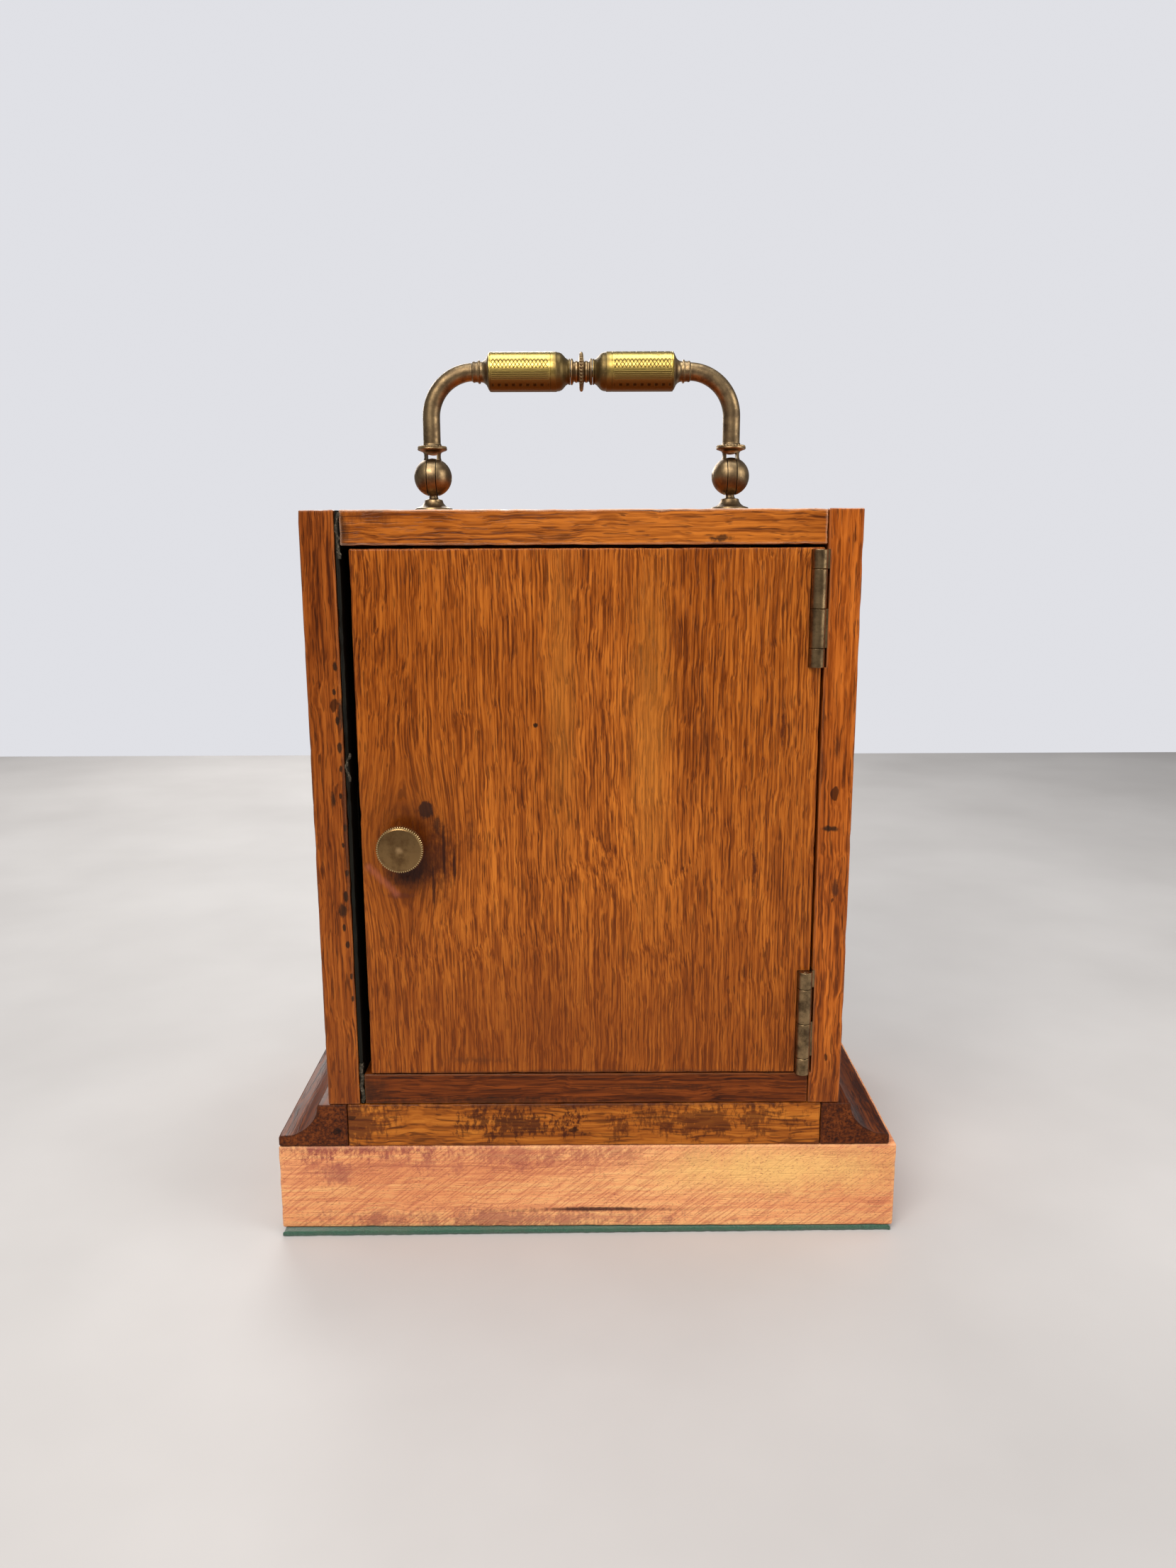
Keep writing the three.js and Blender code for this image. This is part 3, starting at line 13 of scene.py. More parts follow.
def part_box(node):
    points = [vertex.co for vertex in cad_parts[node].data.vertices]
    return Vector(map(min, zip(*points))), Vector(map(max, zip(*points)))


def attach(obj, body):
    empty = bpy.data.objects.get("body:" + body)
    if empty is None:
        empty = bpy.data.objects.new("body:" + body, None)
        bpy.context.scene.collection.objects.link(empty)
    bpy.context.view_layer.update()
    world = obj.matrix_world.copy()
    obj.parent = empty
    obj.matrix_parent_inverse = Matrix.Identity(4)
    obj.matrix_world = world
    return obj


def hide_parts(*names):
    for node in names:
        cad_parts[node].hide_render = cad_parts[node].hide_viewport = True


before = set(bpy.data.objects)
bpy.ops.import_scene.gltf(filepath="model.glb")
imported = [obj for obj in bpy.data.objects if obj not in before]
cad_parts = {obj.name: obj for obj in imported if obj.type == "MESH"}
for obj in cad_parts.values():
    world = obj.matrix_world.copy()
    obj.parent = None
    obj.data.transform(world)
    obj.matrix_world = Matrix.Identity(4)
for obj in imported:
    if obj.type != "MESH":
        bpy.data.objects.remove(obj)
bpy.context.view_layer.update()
MM = 0.001

# ---------------------------------------------------------------- sizes

ARRIS = 0.45 * MM  # softened edge of the case's boards
BLOCK_ARRIS = 0.7 * MM
BOARD_STEP = 2.6 * MM  # distance between the points of a planed face
BALL_RADIUS = 5.9 * MM
FORK_SLOT_HALF = 1.6 * MM
FORK_SLOT_TOP = 7.4 * MM
TONGUE_HALF = 1.3 * MM
PIN_BORE = 1.19 * MM
ROD_RADIUS = 2.7 * MM
ROD_BEND = 13.6 * MM
COLLAR_HEIGHT = 8.7 * MM
COLLAR_BEADS = 26
SPOOL_BEADS = 34
KNOB_TEETH = 64
KNOB_TOOTH_DEPTH = 0.42 * MM
SPINDLE_BORE = 2.02 * MM
HOLLOW_EASE = 0.25  # how far the moulding's hollow is flattened towards a straight slope
HINGE_SCREWS = 3
BRUISES = 14  # old dents down the inner edge of the right-hand side
ROUND = 64  # sides of a turned brass piece
SMALL_ROUND = 32
HALF_TURN = math.pi


def middle_of(node):
    low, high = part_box(node)
    return (low + high) / 2


DOOR_LOW, DOOR_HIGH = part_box("rear_door")
REAR_Y = DOOR_HIGH.y  # the door and the rear ends of the case's boards lie in one plane
KNOB_AT = middle_of("door_knob")
PIVOT_AT = middle_of("handle_pin_right")
GRIP_AT = middle_of("handle_core_rod")
CASE_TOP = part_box("case_top")[1].z
DIAL_AT = middle_of("bezel")

# ---------------------------------------------------------------- camera, floor and light

FLOOR_REACH = 0.8
CAMERA_AT = (-0.98 * MM, 373.2 * MM, 200.3 * MM)
CAMERA_DOWN = 0.1957  # radians below the level
CAMERA_TURN = 0.0018
CAMERA_ROLL = -0.0035


def place_camera():
    """Stands the camera behind the clock, looking down a little at the rear door."""
    data = bpy.data.cameras.new("rear_view")
    data.lens = 25.59
    data.sensor_width = 36
    data.clip_start = 0.01
    camera = bpy.data.objects.new("rear_view", data)
    bpy.context.scene.collection.objects.link(camera)
    level = math.cos(CAMERA_DOWN)
    ahead = Vector((-math.sin(CAMERA_TURN) * level, -math.cos(CAMERA_TURN) * level, -math.sin(CAMERA_DOWN)))
    across = Vector((-math.cos(CAMERA_TURN), math.sin(CAMERA_TURN), 0))
    upward = across.cross(ahead)
    right = across * math.cos(CAMERA_ROLL) + upward * math.sin(CAMERA_ROLL)
    top = upward * math.cos(CAMERA_ROLL) - across * math.sin(CAMERA_ROLL)
    camera.matrix_world = Matrix.Translation(CAMERA_AT) @ Matrix((right, top, -ahead)).transposed().to_4x4()
    bpy.context.scene.camera = camera


def add_softbox(name, at, target, size, power, colour):
    """A square lamp behind a diffuser, turned towards its target."""
    data = bpy.data.lights.new(name, "AREA")
    data.shape = "RECTANGLE"
    data.size, data.size_y = size
    data.energy = power
    data.color = colour
    lamp = bpy.data.objects.new(name, data)
    bpy.context.scene.collection.objects.link(lamp)
    lamp.location = at
    lamp.rotation_euler = (Vector(target) - Vector(at)).to_track_quat("-Z", "Y").to_euler()


def light_the_room():
    """A pale room with one large soft lamp high on the door's side and three weaker ones round the clock."""
    clock = (0, 0, 0.13)
    add_softbox("key_lamp", (0.25, 0.75, 0.85), clock, (0.7, 0.5), 9.5, (1.0, 0.95, 0.88))
    add_softbox("side_lamp", (-0.8, 0.35, 0.45), clock, (0.5, 0.6), 3.2, (1.0, 0.97, 0.93))
    add_softbox("front_lamp", (0.3, -0.9, 0.6), clock, (0.6, 0.5), 6.0, (1.0, 0.97, 0.93))
    add_softbox("top_lamp", (0, 0.05, 1.1), clock, (0.8, 0.5), 6.0, (0.95, 0.98, 1.0))
    world = bpy.data.worlds.new("pale_room")
    bpy.context.scene.world = world
    world.use_nodes = True
    tree = Tree(world.node_tree)
    shown = tree.add("ShaderNodeBackground", Color=(0.745, 0.75, 0.79, 1), Strength=1.0)
    lighting = tree.add("ShaderNodeBackground", Color=(0.62, 0.62, 0.64, 1), Strength=0.34)
    rays = tree.add("ShaderNodeLightPath")
    chosen = tree.add("ShaderNodeMixShader")
    tree.link(rays.outputs["Is Camera Ray"], chosen.inputs[0])
    tree.link(lighting.outputs[0], chosen.inputs[1])
    tree.link(shown.outputs[0], chosen.inputs[2])
    tree.link(chosen.outputs[0], tree.add("ShaderNodeOutputWorld").inputs[0])


def lay_floor():
    """A wide pale floor."""
    turns = ((-1, -1), (1, -1), (1, 1), (-1, 1))
    shape = Shape().add([(FLOOR_REACH * x, FLOOR_REACH * y, 0) for x, y in turns], [(0, 1, 2, 3)])
    floor = bpy.data.objects.new("floor", shape.mesh("floor"))
    bpy.context.scene.collection.objects.link(floor)
    material, tree, surface = new_finish("pale_floor", Roughness=0.6, Specular_IOR_Level=0.2)
    mottle = tree.noise(tree.object_place(), 9, detail=4)
    colour = tree.ramp(mottle, [(0.3, (0.47, 0.455, 0.45)), (0.7, (0.53, 0.515, 0.51))])
    tree.link(colour, surface.inputs["Base Color"])
    floor.data.materials.append(material)


# ---------------------------------------------------------------- node trees


class Tree:
    """Adds nodes to one tree. An input may be given a number, a colour or another node's output."""

    def __init__(self, tree):
        self.tree = tree
        tree.nodes.clear()

    def link(self, output, socket):
        self.tree.links.new(output, socket)

    def give(self, socket, value):
        if isinstance(value, bpy.types.NodeSocket):
            self.link(value, socket)
        elif hasattr(value, "__len__") and len(value) == 3 and socket.type == "RGBA":
            socket.default_value = (*value, 1)
        else:
            socket.default_value = value

    def add(self, kind, settings=None, **inputs):
        node = self.tree.nodes.new(kind)
        for name, value in (settings or {}).items():
            setattr(node, name, value)
        for name, value in inputs.items():
            self.give(node.inputs[name.replace("_", " ")], value)
        return node

    def object_place(self):
        return self.add("ShaderNodeTexCoord").outputs["Object"]

    def math(self, operation, first, second=0.0):
        node = self.add("ShaderNodeMath", {"operation": operation})
        self.give(node.inputs[0], first)
        self.give(node.inputs[1], second)
        return node.outputs[0]

    def times(self, first, second):
        return self.math("MULTIPLY", first, second)

    def plus(self, first, second):
        return self.math("ADD", first, second)

    def minus(self, first, second):
        return self.math("SUBTRACT", first, second)

    def from_middle(self, value):
        """How far a value that runs from 0 to 1 is from a half, either way."""
        return self.math("ABSOLUTE", self.minus(value, 0.5))

    def repeat(self, value, times):
        return self.math("FRACT", self.times(value, times))

    def vector(self, operation, first, second):
        node = self.add("ShaderNodeVectorMath", {"operation": operation})
        self.give(node.inputs[0], first)
        self.give(node.inputs[1], second)
        length = operation in ("LENGTH", "DISTANCE", "DOT_PRODUCT")
        return node.outputs["Value" if length else "Vector"]

    def scaled(self, place, sizes):
        return self.vector("MULTIPLY", place, sizes)

    def length(self, vector):
        return self.vector("LENGTH", vector, (0, 0, 0))

    def noise(self, place, scale=1, detail=2.0, roughness=0.5):
        node = self.add("ShaderNodeTexNoise", Vector=place, Scale=scale, Detail=detail, Roughness=roughness)
        return node.outputs["Fac"]

    def spread(self, value, low, high, to_low=0.0, to_high=1.0):
        """Carries the span from low to high over to another span, and holds it there."""
        node = self.add("ShaderNodeMapRange", {"interpolation_type": "SMOOTHSTEP"})
        for socket, given in zip(node.inputs, (value, low, high, to_low, to_high), strict=False):
            self.give(socket, given)
        return node.outputs[0]

    def ramp(self, value, stops):
        node = self.add("ShaderNodeValToRGB", Fac=value)
        elements = node.color_ramp.elements
        while len(elements) < len(stops):
            elements.new(0.5)
        for element, (at, colour) in zip(elements, stops, strict=True):
            element.position = at
            element.color = (*colour, 1)
        return node.outputs["Color"]

    def mix(self, factor, first, second, blend="MIX"):
        node = self.add("ShaderNodeMix", {"data_type": "RGBA", "blend_type": blend})
        self.give(node.inputs[0], factor)
        self.give(node.inputs[6], first)
        self.give(node.inputs[7], second)
        return node.outputs[2]

    def separate(self, vector):
        return self.add("ShaderNodeSeparateXYZ", Vector=vector).outputs

    def combine(self, x, y, z):
        return self.add("ShaderNodeCombineXYZ", X=x, Y=y, Z=z).outputs[0]

    def group(self, tree, **inputs):
        return self.add("ShaderNodeGroup", {"node_tree": tree}, **inputs).outputs

    def bump(self, height, strength, distance):
        return self.add("ShaderNodeBump", Height=height, Strength=strength, Distance=distance).outputs[0]

    def dress(self, surface, colour, roughness, normal=None):
        """Gives the shader its colour and roughness and, on a piece with relief, its normal."""
        self.link(colour, surface.inputs["Base Color"])
        self.link(roughness, surface.inputs["Roughness"])
        if normal is not None:
            self.link(normal, surface.inputs["Normal"])


SOCKETS = {"vector": "NodeSocketVector", "value": "NodeSocketFloat", "colour": "NodeSocketColor"}


def new_effect(name, takes, gives):
    """Starts an effect that finishes share. takes holds (name, kind, value), and gives (name, kind)."""
    group = bpy.data.node_groups.new(name, "ShaderNodeTree")
    tree = Tree(group)
    for label, kind, value in takes:
        socket = group.interface.new_socket(label, in_out="INPUT", socket_type=SOCKETS[kind])
        if value is not None:
            socket.default_value = value
    for label, kind in gives:
        group.interface.new_socket(label, in_out="OUTPUT", socket_type=SOCKETS[kind])
    start = tree.add("NodeGroupInput")
    end = tree.add("NodeGroupOutput")
    return group, tree, start.outputs, end.inputs


def new_finish(name, **shader):
    """Starts a material with a Principled shader whose plain values are given here."""
    material = bpy.data.materials.new(name)
    material.use_nodes = True
    tree = Tree(material.node_tree)
    surface = tree.add("ShaderNodeBsdfPrincipled", **shader)
    output = tree.add("ShaderNodeOutputMaterial")
    tree.link(surface.outputs[0], output.inputs["Surface"])
    return material, tree, surface


def make_board_figure():
    """Grain of a sawn board. Place runs along the grain in Z."""
    group, tree, given, out = new_effect(
        "board_figure",
        [
            ("Place", "vector", None), ("Ring Width", "value", 0.009), ("Fibre Width", "value", 0.0007),
            ("Wander", "value", 0.004),
        ],
        [(label, "value") for label in ("Rings", "Fibre", "Pores", "Clouds", "Relief")],
    )
    place = given["Place"]
    sway = tree.noise(tree.scaled(place, (14, 14, 7)), detail=2)
    ripple = tree.noise(tree.scaled(place, (120, 120, 70)), detail=2)
    sway = tree.times(tree.minus(sway, 0.5), given["Wander"])
    ripple = tree.times(tree.minus(ripple, 0.5), given["Fibre Width"])
    shift = tree.plus(sway, tree.times(ripple, 3.0))
    bent = tree.vector("ADD", place, tree.combine(shift, shift, 0.0))

    def drawn_out(size, share, **texture):
        """Noise that is drawn out along the grain: share is how large the sizes along it are kept."""
        return tree.noise(tree.scaled(bent, tree.combine(size, size, tree.times(size, share))), **texture)

    rings = drawn_out(tree.math("DIVIDE", 1.0, given["Ring Width"]), 0.035, detail=3, roughness=0.6)
    fibre_size = tree.math("DIVIDE", 1.0, given["Fibre Width"])
    fibre = drawn_out(fibre_size, 0.024, detail=3, roughness=0.62)
    pores = tree.spread(drawn_out(tree.times(fibre_size, 1.5), 0.055, detail=1), 0.57, 0.67)
    clouds = tree.noise(tree.scaled(place, (26, 26, 9)), detail=4, roughness=0.6)
    tree.link(tree.spread(rings, 0.30, 0.70), out["Rings"])
    tree.link(tree.spread(fibre, 0.28, 0.72), out["Fibre"])
    tree.link(pores, out["Pores"])
    tree.link(tree.spread(clouds, 0.3, 0.7), out["Clouds"])
    relief = tree.minus(tree.times(fibre, 0.5), tree.times(pores, 0.5))
    tree.link(relief, out["Relief"])
    return group


def make_knot_swirl():
    """Grain that parts round a knot. It moves the place sideways near the centre and darkens the heart."""
    group, tree, given, out = new_effect(
        "knot_swirl",
        [
            ("Place", "vector", None), ("Centre", "vector", None), ("Reach", "value", 0.014),
            ("Push", "value", 0.005),
        ],
        [("Place", "vector"), ("Heart", "value")],
    )
    away = tree.vector("SUBTRACT", given["Place"], given["Centre"])
    x, _, z = tree.separate(away)
    flat = tree.combine(x, 0.0, tree.times(z, 0.7))
    distance = tree.length(flat)
    near = tree.spread(distance, 0.0, given["Reach"], 1.0, 0.0)
    side = tree.math("DIVIDE", x, tree.plus(tree.math("ABSOLUTE", x), 0.003))
    push = tree.times(tree.times(side, near), given["Push"])
    moved = tree.vector("SUBTRACT", given["Place"], tree.combine(push, 0.0, 0.0))
    tree.link(moved, out["Place"])
    tree.link(near, out["Heart"])
    return group


def make_ragged_mark():
    """A ragged oval mark, for stains and for painted light and shade. Size is its half width, half depth and
    half height.
    """
    group, tree, given, out = new_effect(
        "ragged_mark",
        [
            ("Place", "vector", None), ("Centre", "vector", None),
            ("Size", "vector", (0.01, 0.01, 0.01)),
            ("Ragged", "value", 0.5), ("Softness", "value", 0.5),
        ],
        [("Mark", "value")],
    )
    away = tree.vector("DIVIDE", tree.vector("SUBTRACT", given["Place"], given["Centre"]), given["Size"])
    distance = tree.length(away)
    torn = tree.noise(tree.scaled(given["Place"], (900, 900, 420)), detail=4, roughness=0.65)
    broad = tree.noise(tree.scaled(given["Place"], (190, 190, 110)), detail=2)
    torn = tree.plus(tree.times(torn, 0.6), tree.times(broad, 0.4))
    torn = tree.times(tree.minus(torn, 0.5), tree.times(given["Ragged"], 4.0))
    distance = tree.plus(distance, torn)
    inner = tree.minus(1.0, given["Softness"])
    tree.link(tree.spread(distance, inner, 1.0, 1.0, 0.0), out["Mark"])
    return group


def make_worn_arris():
    """Where a piece's edges turn, so that the finish is rubbed or chipped there."""
    group, tree, given, out = new_effect(
        "worn_arris",
        [("Place", "vector", None), ("Width", "value", 0.0008), ("Ragged", "value", 0.5)],
        [("Edge", "value"), ("Chips", "value")],
    )
    rounded = tree.add("ShaderNodeBevel", {"samples": 4}, Radius=given["Width"]).outputs[0]
    flat = tree.add("ShaderNodeNewGeometry").outputs["Normal"]
    turn = tree.minus(1.0, tree.vector("DOT_PRODUCT", rounded, flat))
    torn = tree.noise(tree.scaled(given["Place"], (420, 420, 420)), detail=4, roughness=0.7)
    torn = tree.times(tree.minus(torn, 0.5), given["Ragged"])
    edge = tree.plus(tree.spread(turn, 0.0, 0.16), torn)
    tree.link(tree.spread(edge, 0.25, 0.85), out["Edge"])
    tree.link(tree.spread(edge, 0.72, 0.95), out["Chips"])
    return group


def make_dents():
    """Scattered dents and specks, longer along Z."""
    group, tree, given, out = new_effect(
        "dents",
        [("Place", "vector", None), ("Spacing", "value", 0.006), ("Amount", "value", 0.4)],
        [("Mark", "value")],
    )
    size = tree.math("DIVIDE", 1.0, given["Spacing"])
    scaled = tree.scaled(given["Place"], tree.combine(size, size, tree.times(size, 0.55)))
    wobble = tree.add("ShaderNodeTexNoise", Vector=scaled, Scale=2.5, Detail=2.0).outputs["Color"]
    scaled = tree.vector("ADD", scaled, tree.scaled(wobble, (0.35, 0.35, 0.35)))
    cells = tree.add("ShaderNodeTexVoronoi", Vector=scaled, Scale=1.0, Randomness=1.0)
    which = tree.separate(cells.outputs["Color"])[0]
    size_here = tree.times(tree.spread(which, tree.minus(1.0, given["Amount"]), 1.0), 0.26)
    spot = tree.minus(size_here, cells.outputs["Distance"])
    tree.link(tree.spread(spot, 0.0, 0.06), out["Mark"])
    return group


def make_tarnish():
    """Brown bloom on old brass, thinner where it is handled, with fine pitting."""
    group, tree, given, out = new_effect(
        "tarnish",
        [("Place", "vector", None), ("Size", "value", 0.004), ("Cover", "value", 0.5)],
        [("Bloom", "value"), ("Pits", "value")],
    )
    size = tree.math("DIVIDE", 1.0, given["Size"])
    scaled = tree.scaled(given["Place"], tree.combine(size, size, size))
    clouds = tree.noise(scaled, detail=5, roughness=0.62)
    fine = tree.noise(scaled, 9, detail=3, roughness=0.7)
    low = tree.minus(0.85, given["Cover"])
    tree.link(tree.spread(clouds, low, tree.plus(low, 0.35)), out["Bloom"])
    tree.link(tree.spread(fine, 0.56, 0.72), out["Pits"])
    return group


def make_fine_scratches():
    """Hair scratches that lie in two directions."""
    group, tree, given, out = new_effect(
        "fine_scratches",
        [("Place", "vector", None), ("Width", "value", 0.0001)],
        [("Lines", "value")],
    )
    size = tree.math("DIVIDE", 1.0, given["Width"])
    fine = tree.times(size, 0.02)
    first = tree.noise(tree.scaled(given["Place"], tree.combine(size, fine, fine)), detail=2)
    second = tree.noise(tree.scaled(given["Place"], tree.combine(fine, fine, size)), detail=2)
    lines = tree.math("MAXIMUM", tree.spread(first, 0.60, 0.74), tree.spread(second, 0.60, 0.74))
    tree.link(lines, out["Lines"])
    return group


BOARD_FIGURE = make_board_figure()
KNOT_SWIRL = make_knot_swirl()
RAGGED_MARK = make_ragged_mark()
WORN_ARRIS = make_worn_arris()
DENTS = make_dents()
TARNISH = make_tarnish()
FINE_SCRATCHES = make_fine_scratches()

# ---------------------------------------------------------------- wood finishes

ALONG_X = (0, HALF_TURN / 2, 0)  # turns a board's length from X to Z before its grain is drawn
ALONG_Y = (HALF_TURN / 2, 0, 0)
ALONG_Z = (0, 0, 0)
FACE_DEPTH = 5 * MM  # how far a mark on the rear face goes into the wood


def times_each(share, colour):
    return tuple(share * part for part in colour)


def lay_marks_and_painted_light(tree, place, colour, marks):
    """Lays marks over a colour: stains, wear and, in places, painted light and shade. Each holds (centre,
    size, ragged, softness, colour, strength).
    """
    for centre, size, ragged, softness, mark_and_painted_light_colour, strength in marks:
        mark = tree.group(RAGGED_MARK, Place=place, Centre=centre, Size=size, Ragged=ragged, Softness=softness)
        colour = tree.mix(tree.times(mark["Mark"], strength), colour, mark_and_painted_light_colour)
    return colour


def marks_on_rear(x, z, rows, depth=FACE_DEPTH):
    """Marks on the rear face, placed from the point (x, z).

    Each row holds, in millimetres, how far it is towards +X and up, its half width and its half height, and
    then ragged, softness, colour and strength.
    """
    return [
        ((x + across * MM, REAR_Y, z + up * MM), (wide * MM, depth, tall * MM), *look)
        for across, up, wide, tall, *look in rows
    ]


def wood_finish(
    name, pale, mid, dark, grain=ALONG_Z, offset=(0, 0, 0), rings=0.009, fibre=0.0007, wander=0.004,
    edge=(0.30, 0.13, 0.05), edge_cover=0.5, dents=0.25, knot=None, marks=(), roughness=(0.28, 0.46),
    coat=0.05, relief=0.35, streaks=0.30,
):
    """French-polished or stained wood, streaked along its grain, with marks, dents and worn arrises."""
    material, tree, surface = new_finish(name, Coat_Weight=coat, Coat_Roughness=0.22, Specular_IOR_Level=0.13)
    place = tree.object_place()
    turned_place = tree.add("ShaderNodeMapping", Vector=place, Rotation=grain, Location=offset).outputs[0]
    heart = None
    if knot:
        centre, reach, push = knot
        swirl = tree.group(KNOT_SWIRL, Place=turned_place, Centre=centre, Reach=reach, Push=push)
        turned_place, heart = swirl["Place"], swirl["Heart"]
    figure = tree.group(BOARD_FIGURE, Place=turned_place, Ring_Width=rings, Fibre_Width=fibre, Wander=wander)
    tone = tree.times(figure["Rings"], streaks)
    tone = tree.plus(tone, tree.times(figure["Fibre"], 1 - streaks))
    colour = tree.ramp(tone, [(0.08, dark), (0.45, mid), (0.92, pale)])
    shade = tree.ramp(figure["Clouds"], [(0.0, (0.80, 0.74, 0.68)), (1.0, (1.12, 1.14, 1.16))])
    colour = tree.mix(1.0, colour, shade, "MULTIPLY")
    colour = tree.mix(tree.times(figure["Pores"], 0.62), colour, times_each(0.45, dark))
    if heart is not None:
        colour = tree.mix(tree.times(heart, 0.72), colour, times_each(0.62, mid))
    colour = lay_marks_and_painted_light(tree, place, colour, marks)
    specks = tree.group(DENTS, Place=turned_place, Spacing=0.005, Amount=dents)
    colour = tree.mix(tree.times(specks["Mark"], 0.8), colour, times_each(0.25, dark))
    wear = tree.group(WORN_ARRIS, Place=place, Width=0.0011, Ragged=0.9)
    colour = tree.mix(tree.times(wear["Edge"], edge_cover), colour, edge)
    smooth = tree.plus(tree.times(figure["Fibre"], 0.35), tree.times(figure["Clouds"], 0.65))
    height = tree.minus(figure["Relief"], tree.times(specks["Mark"], 0.8))
    tree.dress(surface, colour, tree.spread(smooth, 0.0, 1.0, *roughness), tree.bump(height, relief, 0.0004))
    return material


# Colours of the stains and of the bare or rubbed wood. NEAR_BLACK also paints a shadow at the right end of
# the top board.
OAK_PALE = (0.56, 0.165, 0.018)
OAK_MID = (0.32, 0.078, 0.007)
OAK_DARK = (0.115, 0.023, 0.002)
BROWN_PALE = (0.26, 0.058, 0.007)
BROWN_MID = (0.13, 0.027, 0.003)
BROWN_DARK = (0.040, 0.008, 0.002)
NEAR_BLACK = (0.016, 0.008, 0.004)
RUBBED_OAK = (0.22, 0.072, 0.020)


def door_finish():
    """Orange-brown oak whose grain parts at a dark, worn knot round the knob, with a painted shadow below the
    knob.
    """
    knob = Vector((KNOB_AT.x, 0, KNOB_AT.z))
    rows = [
        (-3, -1, 13, 17, 0.3, 0.9, (0.050, 0.009, 0.002), 0.92),
        # Painted shadow: a dark patch just below the knob, where the knob's shade falls on the door.
        (-1.5, -8.5, 8, 6, 0.4, 0.8, (0.035, 0.008, 0.003), 0.95),
        (-6.8, 9.8, 2.5, 2.8, 0.45, 0.3, (0.028, 0.010, 0.006), 0.9),
        (-9.6, 6.0, 1.3, 3.4, 0.6, 0.6, (0.035, 0.011, 0.005), 0.8),
        (-12, -3, 5, 15, 0.8, 0.9, (0.045, 0.008, 0.002), 0.6),
        (-11.4, -1, 0.6, 11, 0.3, 0.5, (0.030, 0.006, 0.002), 0.9),
        (-8.2, -13, 0.6, 7, 0.3, 0.5, (0.040, 0.009, 0.003), 0.85),
        (-14.3, -7, 0.55, 6.5, 0.3, 0.5, (0.030, 0.006, 0.002), 0.85),
        (-19.0, 4, 1.6, 12, 0.9, 0.8, (0.075, 0.015, 0.003), 0.6),
        (1, -15.2, 5.5, 1.1, 0.6, 0.7, (0.10, 0.022, 0.008), 0.65),
        (-38, 34, 0.9, 0.9, 0.5, 0.5, NEAR_BLACK, 0.95),
        (-100, -8, 1.1, 9, 0.8, 0.8, (0.06, 0.010, 0.003), 0.9),
        (-107, 32, 0.8, 7, 0.8, 0.8, (0.06, 0.010, 0.003), 0.8),
        (-40, -58, 110, 52, 0.15, 1.0, (0.17, 0.034, 0.004), 0.50),
        (-20, -66, 12, 1.6, 0.9, 0.9, (0.10, 0.026, 0.006), 0.6),
        (-70, 30, 9, 70, 0.3, 1.0, (0.50, 0.175, 0.024), 0.42),
        (-45, 40, 7, 60, 0.3, 1.0, (0.48, 0.165, 0.022), 0.36),
    ]
    graze = (1.7, 1.7, 0.2, 1.0, (0.40, 0.11, 0.060), 0.5)
    rows += [(10.0 - 1.25 * i, -6.8 - 1.3 * i, *graze) for i in range(7)]
    marks = marks_on_rear(knob.x, knob.z, rows, 4 * MM)
    lower_edge = (0, 0, 90, 1.4, 0.5, 0.8, (0.10, 0.028, 0.008), 0.7)
    marks += marks_on_rear(0, DOOR_LOW.z, [lower_edge], 10 * MM)
    return wood_finish(
        "door_oak", OAK_PALE, OAK_MID, OAK_DARK, rings=0.0085, fibre=0.00055, wander=0.010, streaks=0.16,
        edge=RUBBED_OAK, edge_cover=0.6, dents=0.0, knot=(tuple(knob), 0.024, 0.006), marks=marks,
        relief=0.5,
    )


def side_finish(name, offset, marks, dents, lift=1.0):
    """Redder oak of a case side, with its grain upright. lift makes the wood paler."""
    return wood_finish(
        name,
        times_each(lift, (0.44, 0.120, 0.014)),
        times_each(lift, (0.24, 0.054, 0.005)),
        times_each(lift, (0.070, 0.014, 0.002)),
        offset=offset, rings=0.0045, fibre=0.0007, edge=(0.33, 0.15, 0.07), edge_cover=0.55, dents=dents,
        marks=marks,
    )


